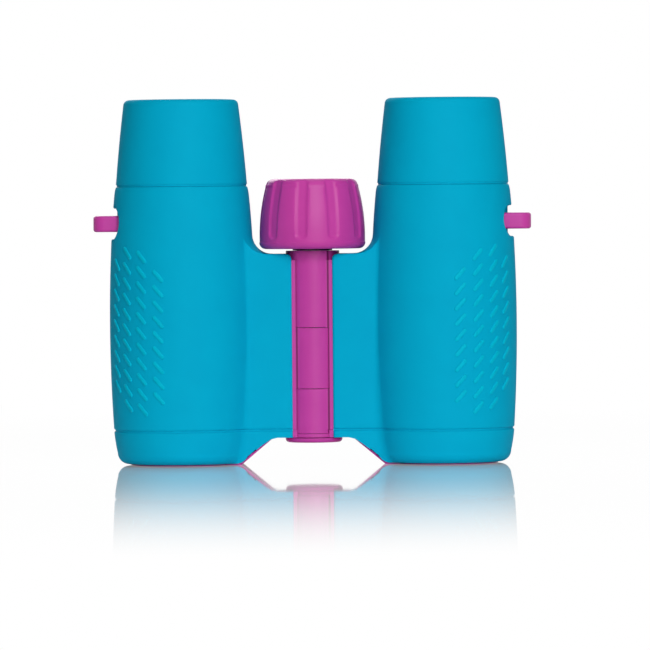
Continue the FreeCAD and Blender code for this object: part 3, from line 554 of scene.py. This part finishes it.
cup_low, cup_high = span_mm("right_eyecup")
core_low, core_high = span_mm("right_eyecup_core")
armour_low, armour_high = span_mm("right_armour")
toe_high = span_mm("right_front_armour")[1]
knob_low, knob_high = span_mm("focus_knob")
hinge_low, hinge_high = span_mm("hinge_washer")
lug_low, lug_high = span_mm("right_strap_lug")
half_x = (cup_low[0] + cup_high[0]) / 2
hinge_y = (hinge_low[1] + hinge_high[1]) / 2
wing_edge_x = armour_low[0]
print("barrel axis at x =", round(half_x, 2), "hinge at y =", round(hinge_y, 2))

# %% [markdown]
# The armour's side is two long arcs: one over the belly, one from the shoulder to the neck. An arc
# through three rings of known radius gives the armour's radius at any height. Over its last two
# millimetres the neck leans in a little more, to meet the eyecup.

# %% Outline of the armour
foot_ring = (18.6, 9.25)
belly_ring = (19.45, 32.0)
shoulder_ring = (19.0, 58.05)
swell_ring = (18.525, 66.35)
neck_ring = (17.75, 74.65)
NECK_LEAN = 0.28
NECK_LEAN_HEIGHT = 2.2


def arc_radius_at(z, low, middle, high):
    # The radius at height z on the circle through three (radius, height) points.
    (x1, z1), (x2, z2), (x3, z3) = low, middle, high
    d = 2 * (x1 * (z2 - z3) + x2 * (z3 - z1) + x3 * (z1 - z2))
    s1, s2, s3 = x1 * x1 + z1 * z1, x2 * x2 + z2 * z2, x3 * x3 + z3 * z3
    centre_x = (s1 * (z2 - z3) + s2 * (z3 - z1) + s3 * (z1 - z2)) / d
    centre_z = (s1 * (x3 - x2) + s2 * (x1 - x3) + s3 * (x2 - x1)) / d
    radius = math.hypot(x1 - centre_x, z1 - centre_z)
    return centre_x + math.sqrt(radius * radius - (z - centre_z) ** 2)


def armour_radius(z):
    if z < shoulder_ring[1]:
        return arc_radius_at(z, foot_ring, belly_ring, shoulder_ring)
    share = max(0.0, 1 - (neck_ring[1] - z) / NECK_LEAN_HEIGHT)
    return arc_radius_at(z, shoulder_ring, swell_ring, neck_ring) - NECK_LEAN * share ** 2


print("armour radius at its belly in mm:", round(armour_radius(belly_ring[1]), 2))

# %% [markdown]
# Seen from above, the armour is a round barrel with a flat wing toward the hinge. The corner
# between them is filled with a soft valley. Each height gets the same number of points along this
# line, from the wing's front edge round the barrel to its rear edge, so that the heights can be
# joined into one clean skin.

# %% Armour seen from above
WING_FRONT_Y = -8.3
WING_REAR_Y = 4.0
WING_SKIN = 0.7
VALLEY_LOW_R = 3.6
VALLEY_HIGH_R = 1.5
FACE_STEPS = 6
VALLEY_STEPS = 8
CORNER_STEPS = 4
BARREL_STEPS = 72


def bearing(centre, point):
    return math.degrees(math.atan2(point[1] - centre[1], point[0] - centre[0]))


def valley_radius(z):
    # The valley is wide at the foot and tighter from the belly up.
    share = (z - foot_ring[1]) / (belly_ring[1] - foot_ring[1])
    return VALLEY_LOW_R + (VALLEY_HIGH_R - VALLEY_LOW_R) * min(max(share, 0.0), 1.0)


def half_plan(side_y, radius, valley):
    # From the wing's inner edge to where the valley meets the barrel, on the front or the rear.
    out = math.copysign(1, side_y)
    corner = (wing_edge_x + WING_SKIN, side_y - out * WING_SKIN)
    points = arc_points(corner, WING_SKIN, 180, 180 - out * 90, CORNER_STEPS)
    centre_y = side_y + out * valley
    centre_x = half_x - math.sqrt((radius + valley) ** 2 - centre_y ** 2)
    centre = (centre_x, centre_y)
    share = radius / (radius + valley)
    touch = (half_x + (centre_x - half_x) * share, centre_y * share)
    for k in range(1, FACE_STEPS):
        points.append((corner[0] + (centre_x - corner[0]) * k / FACE_STEPS, side_y))
    points += arc_points(centre, valley, -out * 90, bearing(centre, touch), VALLEY_STEPS)
    return points, touch


def armour_plan(radius, z):
    front, front_end = half_plan(WING_FRONT_Y, radius, valley_radius(z))
    rear, rear_end = half_plan(WING_REAR_Y, radius, valley_radius(z))
    axis = (half_x, 0)
    start, end = bearing(axis, front_end), bearing(axis, rear_end)
    round_side = arc_points(axis, radius, start, end, BARREL_STEPS)
    return front + round_side[1:-1] + rear[::-1]


def rays(plan):
    # Each point of a plan as a direction from the barrel's axis and a distance along it.
    out = []
    for x, y in plan:
        reach = math.hypot(x - half_x, y)
        out.append(((x - half_x) / reach, y / reach, reach))
    return out


belly_plan = armour_plan(belly_ring[0], belly_ring[1])
print("points in the plan:", len(belly_plan), "from", [round(c, 2) for c in belly_plan[0]])

# %% [markdown]
# The skin is 1.8 mm thick round the barrel and 0.7 mm on the wing, where it lies on the plastic
# core. Its inside is found along a ray from the barrel's axis: the ray ends at the round core of
# the barrel or at the block of core in the wing, whichever is farther out.

# %% Walls of the armour
ARMOUR_WALL = 1.8
SOLE_R = 14.1
WALL_BLEND = 2
NO_DEPTH = 1e-9
BEYOND_WING = 10


def core_reach(direction, radius):
    # Inside of the skin along a ray: the barrel's core, or the wing's block of core.
    barrel_core = max(radius - ARMOUR_WALL, min(radius, SOLE_R))
    dx, dy = direction
    if dx >= 0:
        return barrel_core
    side_y = WING_FRONT_Y + WING_SKIN if dy < 0 else WING_REAR_Y - WING_SKIN
    to_side = side_y / dy if abs(dy) > NO_DEPTH else half_x * BEYOND_WING
    to_edge = (wing_edge_x - half_x) / dx
    return max(barrel_core, min(to_side, to_edge))


def wall_at(reach, radius):
    # The wall thins from the barrel's to the wing's over the first two millimetres of the wing.
    on_wing = min((reach - radius) / WALL_BLEND, 1.0)
    return ARMOUR_WALL + (WING_SKIN - ARMOUR_WALL) * on_wing


def place(direction, reach, z):
    return (half_x + direction[0] * reach, direction[1] * reach, z)


print("wall at the barrel and far out on the wing in mm:",
      [round(wall_at(belly_ring[0] + out, belly_ring[0]), 2) for out in (0.0, 10.0)])

# %% [markdown]
# The first part of the skin climbs from the low seam to just under the wing's top. Each row is one
# height, with an outside and an inside. A quarter round makes the edge at the seam, and a thin lip
# of the same rubber fills the seam's bottom, so the seam is a fine groove.

# %% Armour below the wing's top
SLAB_Z = 54.5
RIM_R = 0.4
GROOVE_DEPTH = 0.35
SEAM_GAP = 0.45
EDGE_STEPS = 5
LOW_ROWS = 36


def quarter_turn(first):
    # The angles of a quarter round, from step number first.
    return [(k / EDGE_STEPS) * math.pi / 2 for k in range(first, first + EDGE_STEPS)]


def low_rows(low):
    # Rows from the bottom edge, which is rounded, up to the underside of the wing's top.
    outside, inside = [], []
    levels = [(low - SEAM_GAP, GROOVE_DEPTH), (low, GROOVE_DEPTH)]
    levels += [(low + RIM_R * (1 - math.cos(a)), RIM_R * (1 - math.sin(a)))
               for a in quarter_turn(0)]
    span = SLAB_Z - low - RIM_R
    levels += [(low + RIM_R + span * k / LOW_ROWS, 0.0) for k in range(LOW_ROWS + 1)]
    for z, drawn_in in levels:
        outside.append([])
        inside.append([])
        radius = armour_radius(z)
        for dx, dy, reach in rays(armour_plan(radius, z)):
            core = core_reach((dx, dy), radius)
            moved = (reach - core) * drawn_in / wall_at(reach, radius)
            outside[-1].append(place((dx, dy), reach - moved, z))
            inside[-1].append(place((dx, dy), core, z))
    return outside, inside


print("height of this part in mm:", round(SLAB_Z - armour_low[2], 2))

# %% [markdown]
# Above the wing the skin runs over its top and up the barrel in a hollow saddle. Every point of
# the plan climbs straight up to the wing's top edge, turns over it in a small round, and then
# follows the saddle to the barrel, so one rule makes the flat top, the saddle and the soft edges.

# %% Armour over the wing
WING_TOP_Z = 56.2
SADDLE_R = 5.0
EDGE_R = 1.6
UPRIGHT_ROWS = 3
OVER_ROWS = 14


def over_the_wing(excess):
    # Height and distance outside the barrel, from the slab up, round the edge and up the saddle.
    hidden = math.asin(max(0.0, 1 - excess / SADDLE_R)) if excess < SADDLE_R else 0.0
    flat = max(0.0, excess - SADDLE_R)
    length = flat + SADDLE_R * (math.pi / 2 - hidden)

    def on_saddle(distance):
        if distance < flat:
            return excess - distance, WING_TOP_Z
        angle = hidden + (distance - flat) / SADDLE_R
        return SADDLE_R * (1 - math.sin(angle)), WING_TOP_Z + SADDLE_R * (1 - math.cos(angle))

    corner = on_saddle(0.0)
    edge = min(EDGE_R, length / 2)
    below = (excess, corner[1] - edge)
    after = on_saddle(edge)
    points = [(excess, SLAB_Z + (below[1] - SLAB_Z) * k / UPRIGHT_ROWS)
              for k in range(UPRIGHT_ROWS + 1)]
    for k in range(1, EDGE_STEPS + 1):
        t = k / EDGE_STEPS
        weights = ((1 - t) ** 2, 2 * t * (1 - t), t * t)
        points.append(tuple(sum(w * p[i] for w, p in zip(weights, (below, corner, after)))
                            for i in (0, 1)))
    points += [on_saddle(edge + (length - edge) * k / OVER_ROWS) for k in range(1, OVER_ROWS + 1)]
    return points


print("the saddle meets the barrel at height in mm:", round(over_the_wing(10.0)[-1][1], 2))

# %% [markdown]
# From the saddle the armour is a plain round neck, up to a small round at its rim and down again
# inside. Toward the hinge its edge leaves room for the knuckles, on an arc about the hinge. The
# inside of the armour is closed too, so that the recess in its side can be cut cleanly.

# %% Armour's neck
KNUCKLE_ROOM_R = 7.45
KNUCKLE_ARC = (40, -43.5)
EDGE_COLUMNS = 10
NECK_ROWS = 24


def high_rows(high):
    # Closed rows from the slab over the wing and up to the rounded rim, then down the inside.
    plan = armour_plan(armour_radius(SLAB_Z), SLAB_Z)
    edge = arc_points((0, hinge_y), KNUCKLE_ROOM_R, *KNUCKLE_ARC, EDGE_COLUMNS)
    loop = rays(plan + edge)
    profiles = [over_the_wing(max(0.0, reach - armour_radius(SLAB_Z))) for dx, dy, reach in loop]
    rows = []
    for k in range(len(profiles[0])):
        row = []
        for (dx, dy, reach), profile in zip(loop, profiles):
            excess, z = profile[k]
            row.append(place((dx, dy), armour_radius(z) + excess, z))
        rows.append(row)
    start = WING_TOP_Z + SADDLE_R
    levels = [(start + (high - RIM_R - start) * k / NECK_ROWS, 0.0)
              for k in range(1, NECK_ROWS + 1)]
    levels += [(high - RIM_R * (1 - math.sin(a)), RIM_R * (1 - math.cos(a)))
               for a in quarter_turn(1)]
    levels += [(high, ARMOUR_WALL), ((high + SLAB_Z) / 2, ARMOUR_WALL), (SLAB_Z, ARMOUR_WALL)]
    for z, drawn_in in levels:
        rows.append([place((dx, dy), armour_radius(z) - drawn_in, z) for dx, dy, reach in loop])
    last = [place((dx, dy), core_reach((dx, dy), armour_radius(SLAB_Z)), SLAB_Z)
            for dx, dy, reach in loop]
    last[len(plan):] = rows[0][len(plan):]
    rows.append(last)
    return rows


neck_height = armour_high[2] - WING_TOP_Z - SADDLE_R
print("height of the plain neck in mm:", round(neck_height, 2))

# %% [markdown]
# The parts of the skin are joined in one mesh. The points they share are welded, so it's closed.
# The left side is the same skin, mirrored.

# %% Armour skins


def armour_skin():
    low, high = armour_low[2], armour_high[2]
    (outside, inside), over = low_rows(low), high_rows(high)
    points, faces = [], []
    for rows, closed in ((outside, False), (inside, False), ([outside[0], inside[0]], False),
                         (over, True)):
        faces += skin(rows, closed, len(points))
        points += [point for row in rows for point in row]
    return points, faces


armour_points, armour_faces = armour_skin()
right_armour = make_piece("right_armour_skin", armour_points, armour_faces, rubber,
                          "right_half")
left_armour = make_piece("left_armour_skin", mirrored(armour_points), armour_faces, rubber,
                         "left_half")
print("armour faces per side:", len(right_armour.data.polygons))
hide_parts("right_armour")
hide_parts("left_armour")

# %% [markdown]
# Each strap loop stands in an oval recess of the armour. The recess is cut with a boolean, and its
# cutter is a stack of ovals: the floor, a small inner round, a straight wall, and a flare that
# leaves a soft rim. Floor and rim both follow the barrel's curve.

# %% Recesses of the strap loops
POCKET_H = 8.2
POCKET_HALF_Y = 8.7
POCKET_DEPTH = 1.4
POCKET_ROUND = 0.45
FLAT_STEPS = 8
OVAL_STEPS = 12
ROUND_ANGLES = (0, 20, 40, 60, 80)
FLOOR_SHARES = (0.25, 0.5, 0.75)
CUTTER_BEYOND = 2
pocket_z = (lug_low[2] + lug_high[2]) / 2


def oval(grow, scale=1.0):
    corner = POCKET_H / 2 + grow
    side = POCKET_HALF_Y - POCKET_H / 2
    points = arc_points((side, 0), corner, -90, 90, OVAL_STEPS)
    points += [(side - 2 * side * k / FLAT_STEPS, corner) for k in range(1, FLAT_STEPS)]
    points += arc_points((-side, 0), corner, 90, 270, OVAL_STEPS)
    points += [(2 * side * k / FLAT_STEPS - side, -corner) for k in range(1, FLAT_STEPS)]
    return [(y * scale, pocket_z + z * scale) for y, z in points]


def on_barrel(radius, y):
    return half_x + math.sqrt(radius * radius - y * y)


def pocket_cutter():
    floor_r = armour_radius(pocket_z) - POCKET_DEPTH
    turn = [math.radians(degrees) for degrees in ROUND_ANGLES]
    rows = [[(on_barrel(floor_r, y), y, z) for y, z in oval(-POCKET_ROUND, share)]
            for share in FLOOR_SHARES]
    for a in turn:
        ring = oval(-POCKET_ROUND * (1 - math.sin(a)))
        rise = POCKET_ROUND * (1 - math.cos(a))
        rows.append([(on_barrel(floor_r, y) + rise, y, z) for y, z in ring])
    for a in turn:
        ring = oval(POCKET_ROUND * (1 - math.cos(a)))
        sink = POCKET_ROUND * (1 - math.sin(a))
        rows.append([(on_barrel(armour_radius(z), y) - sink, y, z) for y, z in ring])
    rows.append([(x + CUTTER_BEYOND, y, z) for x, y, z in rows[-1]])
    faces = skin(rows, True)
    width = len(rows[0])
    faces += [tuple(range(width)), tuple(range((len(rows) - 1) * width, len(rows) * width))]
    return [point for row in rows for point in row], faces


def cut_pocket(armour, points, faces):
    cutter = make_piece("pocket_cutter", points, faces, rubber, "right_half")
    apply_modifier(armour, "BOOLEAN", object=cutter, operation="DIFFERENCE", solver="EXACT")
    bpy.data.objects.remove(cutter)
    shade(armour, SMOOTH_DEGREES)


pocket_points, pocket_faces = pocket_cutter()
cut_pocket(right_armour, pocket_points, pocket_faces)
cut_pocket(left_armour, mirrored(pocket_points), pocket_faces)
print("armour faces per side with its recess:", len(right_armour.data.polygons))

# %% [markdown]
# Below the low seam the same rubber runs on as a separate ring, with a round toe under the barrel
# and the wing cut away in a slope. It uses the armour's plan again: each point of the plan starts
# at its own lowest height, on the slope or on the toe, and climbs to the seam.

# %% Toe rings
SOLE_Z = 0.35
TOE_RING = (17.7, 3.2)
TOE_BEND = (16.98, 1.34)
TOE_SIDE = (18.25, 6.1)
SLOPE_START = (10.6, 7.2)
SLOPE_END = (19.33, SOLE_Z)
SLOPE_LIFT = 0.4
TOE_ROWS = 22
TOE_CROWDING = 1.7
HEIGHT_REPEATS = 12
HEIGHT_STRIDE = 0.7
SAME_RADIUS = 1e-6


def toe_radius(z):
    if z < TOE_RING[1]:
        return arc_radius_at(z, (SOLE_R, SOLE_Z), TOE_BEND, TOE_RING)
    return arc_radius_at(z, TOE_RING, TOE_SIDE, (foot_ring[0], toe_high[2]))


def slope_height(x):
    # A straight slope, lifted a little along its middle, where the plastic under it shows.
    share = min(max((x - SLOPE_START[0]) / (SLOPE_END[0] - SLOPE_START[0]), 0.0), 1.0)
    straight = SLOPE_START[1] + (SLOPE_END[1] - SLOPE_START[1]) * share
    return straight + SLOPE_LIFT * 4 * share * (1 - share)


def lowest_heights(count):
    # A point's place depends a little on its height, so the height is found by repeating.
    heights = [SOLE_Z] * count
    for _ in range(HEIGHT_REPEATS):
        for i in range(count):
            radius = toe_radius(heights[i])
            x, y = armour_plan(radius, heights[i])[i]
            on_barrel_side = abs(math.hypot(x - half_x, y) - radius) < SAME_RADIUS
            aim = SOLE_Z if on_barrel_side else slope_height(x)
            heights[i] += (aim - heights[i]) * HEIGHT_STRIDE
    return heights


def toe_skin():
    lows, high = lowest_heights(len(belly_plan)), toe_high[2]
    levels = [((k / TOE_ROWS) ** TOE_CROWDING, 0.0) for k in range(TOE_ROWS + 1)]
    levels += [(1.0 + RIM_R * math.sin(a), RIM_R * (1 - math.cos(a))) for a in quarter_turn(1)]
    outside, inside = [], []
    for level, drawn_in in levels:
        outside.append([])
        inside.append([])
        for i, low in enumerate(lows):
            z = low + (high - RIM_R - low) * min(level, 1.0) + max(level - 1.0, 0.0)
            radius = toe_radius(z)
            dx, dy, reach = rays(armour_plan(radius, z))[i]
            core = core_reach((dx, dy), radius)
            moved = (reach - core) * drawn_in / wall_at(reach, radius)
            outside[-1].append(place((dx, dy), reach - moved, z))
            inside[-1].append(place((dx, dy), core, z))
    points, faces = [], []
    for rows in (outside, inside, [outside[0], inside[0]], [outside[-1], inside[-1]]):
        faces += skin(rows, False, len(points))
        points += [point for row in rows for point in row]
    return points, faces


toe_points, toe_faces = toe_skin()
for side, points in (("right", toe_points), ("left", mirrored(toe_points))):
    toe = make_piece(side + "_toe_skin", points, toe_faces, rubber, side + "_half")
    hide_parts(side + "_front_armour")
print("toe ring height in mm:", round(toe_high[2] - SOLE_Z, 2))

# %% [markdown]
# The grip is four columns of short slanted ribs on the outer front of each barrel, and the same on
# the back. A rib is a round-ended ridge. It is drawn as rings round its middle line, each ring
# narrower and higher than the last, laid on the armour's own curve, so every rib follows the
# barrel. Its foot is sunk in the rubber, because the real rib and armour are one moulding. Its top
# is where fingers rub, so its finish is the armour's, only smoother; its colour is painted a little
# lighter, as a painted highlight for the light the ribs catch. The right half's ribs stand turned a
# little round the barrel.

# %% Grip ribs
RIB_BEARINGS = (61.2, 46.6, 31.5, 16.4)
RIB_COUNTS = (9, 11, 11, 9)
RIB_TOP_Z = 57.75
RIB_PITCH = 4.06
RIB_STEP_DOWN = 1.0
RIB_HALF_RUN = 1.1
RIB_HALF_RISE = 1.2
RIB_HALF_W = 0.56
RIB_PROUD = 0.3
RIB_SUNK = 0.25
RIB_RINGS = (
    # share of the full width, height over the armour
    (1.0, -RIB_SUNK), (1.0, 0.0), (0.97, 0.12), (0.88, 0.22), (0.72, 0.28), (0.3, RIB_PROUD),
)
# which end, and where its round starts and stops, from the rib's lean
RIB_ENDS = ((1, -90, 90), (-1, 90, 270))
RIB_END_STEPS = 6
RIB_SMOOTH_DEGREES = 60
RIB_TURN = {"right": -2.4, "left": 0.0}


def rib_rings(bearing_degrees, middle_z, front):
    length = math.hypot(RIB_HALF_RUN, RIB_HALF_RISE)
    lean = math.degrees(math.atan2(RIB_HALF_RISE, RIB_HALF_RUN))
    rings = []
    for share, height in RIB_RINGS:
        outline = []
        for end, start, stop in RIB_ENDS:
            middle = (end * RIB_HALF_RUN, end * RIB_HALF_RISE)
            outline += arc_points(middle, RIB_HALF_W * share, lean + start, lean + stop,
                                  RIB_END_STEPS)
        ring = []
        for run, rise in outline:
            z = middle_z + rise
            radius = armour_radius(z)
            angle = math.radians(bearing_degrees) + run / radius
            reach = radius + height
            ring.append((half_x + reach * math.sin(angle), -front * reach * math.cos(angle), z))
        rings.append(ring)
    return rings


def grip_ribs(turn):
    points, faces = [], []
    for column, (degrees, count) in enumerate(zip(RIB_BEARINGS, RIB_COUNTS)):
        top = RIB_TOP_Z - RIB_STEP_DOWN * column - (max(RIB_COUNTS) - count) * RIB_PITCH / 2
        for row in range(count):
            for front in (1, -1):
                rings = rib_rings(degrees + turn, top - row * RIB_PITCH, front)
                first, width = len(points), len(rings[0])
                faces += skin(rings, True, first)
                last = first + (len(rings) - 1) * width
                faces += [tuple(range(first, first + width)), tuple(range(last, last + width))]
                points += [point for ring in rings for point in ring]
    return points, faces


for side, turn in RIB_TURN.items():
    rib_points, rib_faces = grip_ribs(turn)
    if side == "left":
        rib_points = mirrored(rib_points)
    # The ribs' finish is painted lighter, as a painted highlight.
    ribs = make_piece(side + "_grip_ribs", rib_points, rib_faces, rib_rubber_painted_lighter, side + "_half",
                      RIB_SMOOTH_DEGREES)
    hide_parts(side + "_armour")
print("ribs per side:", 2 * sum(RIB_COUNTS))

# %% [markdown]
# An eyecup is a thick rubber ring, nearly straight outside, with a bold round rim that rests on the
# brow and a mouth that narrows to its bore. A turned shape is one outline spun about its axis, so
# the outline is all that has to be drawn. A low lip of the same rubber fills the seam's bottom.

# %% Eyecups
CUP_WAIST = (16.55, 86.0)
CUP_RIM_R = 15.4
CUP_RIM_ROUND = 1.5
CUP_RIM_FLAT = 0.55
CUP_BORE_R = 12.6
CUP_EDGE_R = 0.4
CUP_LIP_STEP = 0.2
CUP_LIP_SHARE = 0.95
CUP_LIP_STEPS = 4
CUP_SIDE_STEPS = 16
CUP_RIM_START = 10
CUP_RIM_STEPS = 8
CUP_MOUTH_END = 175
CUP_MOUTH_STEPS = 5
CUP_SEGMENTS = 128


def cup_outline():
    foot_r = (cup_high[0] - cup_low[0]) / 2
    foot_z, rim_z = cup_low[2], cup_high[2]
    core_r = (core_high[0] - core_low[0]) / 2
    lip_z = foot_z - (foot_z - armour_high[2]) * CUP_LIP_SHARE
    lip_r = foot_r - CUP_LIP_STEP
    side_low, side_high = foot_z + CUP_LIP_STEP, rim_z - CUP_RIM_ROUND
    mouth_r = CUP_RIM_R - CUP_RIM_ROUND - CUP_RIM_FLAT
    arc = ((foot_r, foot_z), CUP_WAIST, (CUP_RIM_R, side_high))
    points = [(core_r, lip_z), (lip_r, lip_z)]
    points += arc_points((lip_r, side_low), CUP_LIP_STEP, -90, 0, CUP_LIP_STEPS)
    for k in range(1, CUP_SIDE_STEPS + 1):
        z = side_low + (side_high - side_low) * k / CUP_SIDE_STEPS
        points.append((arc_radius_at(z, *arc), z))
    points += arc_points((CUP_RIM_R - CUP_RIM_ROUND, side_high), CUP_RIM_ROUND,
                         CUP_RIM_START, 90, CUP_RIM_STEPS)
    points += arc_points((mouth_r + CUP_EDGE_R, rim_z - CUP_EDGE_R), CUP_EDGE_R,
                         90, CUP_MOUTH_END, CUP_MOUTH_STEPS)
    return points + [(CUP_BORE_R, core_high[2]), (core_r, core_high[2])]


cup_points, cup_faces = lathe(cup_outline(), (half_x, 0), CUP_SEGMENTS)
cup_sides = (("right", cup_points, "dioptre_ring"), ("left", mirrored(cup_points), "left_half"))
for side, points, body in cup_sides:
    cup = make_piece(side + "_eyecup_rubber", points, cup_faces, rubber, body)
    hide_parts(side + "_eyecup")
print("eyecup height in mm:", round(cup_high[2] - cup_low[2], 2))

# %% [markdown]
# The focus knob is one ABS moulding: a slightly barrelled drum with a round top edge, a sunk top
# for the cap, and a hub inside that turns on the axle. Its outline is drawn in two parts, the
# outside and the inside, as radius and height.

# %% Outline of the focus knob
KNOB_R = 14.2
KNOB_TOP_R = 12.55
KNOB_WIDE_RISE = 3.6
KNOB_TOP_ROUND = 2.3
KNOB_LOW_ROUND = 1.75
KNOB_STEP = 0.1
KNOB_STEP_RISE = 0.11
KNOB_LOW_STEPS = 8
KNOB_SIDE_STEPS = 44
KNOB_TOP_STEPS = 20
CAP_SEAT_R = 8.05
CAP_SEAT_DEPTH = 1.2
CAP_SEAT_LEAD_IN = 0.1
SCREW_HEAD_R = 2.65
SCREW_HEAD_DEPTH = 1.6
SCREW_HOLE_R = 1.0
SCREW_HOLE_RISE = 12.1
ROD_HOLE_R = 2.2
ROD_HOLE_RISE = 8.5
AXLE_HOLE_R = 4.55
HUB_R = 6.6
DRUM_INSIDE_R = 10.55
WEB_DEPTH = 4.0
knob_low_z, knob_high_z = knob_low[2], knob_high[2]


def knob_side_radius(z):
    # The drum's side, an arc that starts upright at its widest ring.
    low, high = knob_low_z + KNOB_WIDE_RISE, knob_high_z - KNOB_TOP_ROUND
    fall = KNOB_R - KNOB_TOP_R
    radius = ((high - low) ** 2 + fall * fall) / (2 * fall)
    rise = max(0.0, z - low)
    return KNOB_R - KNOB_STEP - radius + math.sqrt(radius * radius - rise * rise)


def knob_outline():
    # Outside of the drum from its low edge to its top edge, as (radius, height).
    side_low = knob_low_z + KNOB_LOW_ROUND
    points = arc_points((KNOB_R - KNOB_LOW_ROUND, side_low), KNOB_LOW_ROUND,
                        -90, 0, KNOB_LOW_STEPS)
    points.append((KNOB_R - KNOB_STEP, side_low + KNOB_STEP_RISE))
    high = knob_high_z - KNOB_TOP_ROUND
    start = side_low + 2 * KNOB_STEP_RISE
    for k in range(KNOB_SIDE_STEPS + 1):
        z = start + (high - start) * k / KNOB_SIDE_STEPS
        points.append((knob_side_radius(z), z))
    top_r = knob_side_radius(high) - KNOB_TOP_ROUND
    return points + arc_points((top_r, high), KNOB_TOP_ROUND, 0, 90, KNOB_TOP_STEPS)[1:]


def knob_inside():
    # From the top edge in over the cap's seat, down the screw's hole and the hub, and back out.
    seat = knob_high_z - CAP_SEAT_DEPTH
    head = seat - SCREW_HEAD_DEPTH
    screw, rod = knob_low_z + SCREW_HOLE_RISE, knob_low_z + ROD_HOLE_RISE
    web = knob_high_z - WEB_DEPTH
    return [(CAP_SEAT_R + CAP_SEAT_LEAD_IN, knob_high_z),
            (CAP_SEAT_R, knob_high_z - CAP_SEAT_LEAD_IN), (CAP_SEAT_R, seat),
            (SCREW_HEAD_R, seat), (SCREW_HEAD_R, head), (SCREW_HOLE_R, head),
            (SCREW_HOLE_R, screw), (ROD_HOLE_R, screw), (ROD_HOLE_R, rod), (AXLE_HOLE_R, rod),
            (AXLE_HOLE_R, knob_low_z), (HUB_R, knob_low_z), (HUB_R, web),
            (DRUM_INSIDE_R, web), (DRUM_INSIDE_R, knob_low_z)]


print("points in the knob's outline:", len(knob_outline()) + len(knob_inside()))

# %% [markdown]
# Ten finger flutes run down the drum. Where a flute passes, a point of the outside moves in to the
# flute's floor if that lies deeper. The step from one to the other is blended, as a mould leaves
# it. The points stand closer together over a flute than between two.

# %% Finger flutes
FLUTES = 10
FLUTE_FIRST = -100.2
FLUTE_HALF_W = 1.72
FLUTE_DEPTH = 0.45
FLUTE_LOW_RISE = 2.75
FLUTE_END = 1.1
FLUTE_BLEND = 0.12
FLUTE_REACH_DEGREES = 8.0
FLUTE_COLUMNS = 17
BETWEEN_DEGREES = 2.5
BETWEEN_COLUMNS = 7


def flute_depth_at(across, z):
    end = knob_low_z + FLUTE_LOW_RISE + FLUTE_END
    past_end = max(0.0, end - z) / FLUTE_END
    reach = min(1.0, (across / FLUTE_HALF_W) ** 2 + past_end ** 2)
    return FLUTE_DEPTH * (1 - reach ** 2)


def soft_lesser(a, b):
    # The lesser of two radii, with a round where they meet.
    near = max(0.0, FLUTE_BLEND - abs(a - b))
    return min(a, b) - near * near / (4 * FLUTE_BLEND)


def knob_bearings():
    # Each column's bearing, and how far it is from the middle of its flute.
    offsets = [k - FLUTE_REACH_DEGREES for k in range(FLUTE_COLUMNS)]
    offsets += [FLUTE_REACH_DEGREES + BETWEEN_DEGREES * k for k in range(1, BETWEEN_COLUMNS + 1)]
    return [(FLUTE_FIRST + 360 / FLUTES * flute + offset, min(offset, FLUTE_REACH_DEGREES))
            for flute in range(FLUTES) for offset in offsets]


print("columns round the knob:", len(knob_bearings()))

# %% [markdown]
# The outline is set at every bearing, and the columns are joined into one closed drum.

# %% Focus knob
KNOB_SMOOTH_DEGREES = 38


def knob_mesh():
    outside, inside = knob_outline(), knob_inside()
    rows = []
    for degrees, off_flute in knob_bearings():
        angle = math.radians(degrees)
        row = []
        for radius, z in outside:
            depth = flute_depth_at(math.radians(off_flute) * radius, z)
            if depth > 0:
                radius = soft_lesser(radius, knob_side_radius(z) - depth)
            row.append((radius * math.cos(angle), hinge_y + radius * math.sin(angle), z))
        row += [(r * math.cos(angle), hinge_y + r * math.sin(angle), z) for r, z in inside]
        rows.append(row)
    rows.append(rows[0])
    return [point for row in rows for point in row], skin(rows, True)


knob_points, knob_faces = knob_mesh()
knob = make_piece("fluted_focus_knob", knob_points, knob_faces, magenta, "focus_wheel",
                  KNOB_SMOOTH_DEGREES)
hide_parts("focus_knob")
print("knob faces:", len(knob.data.polygons))
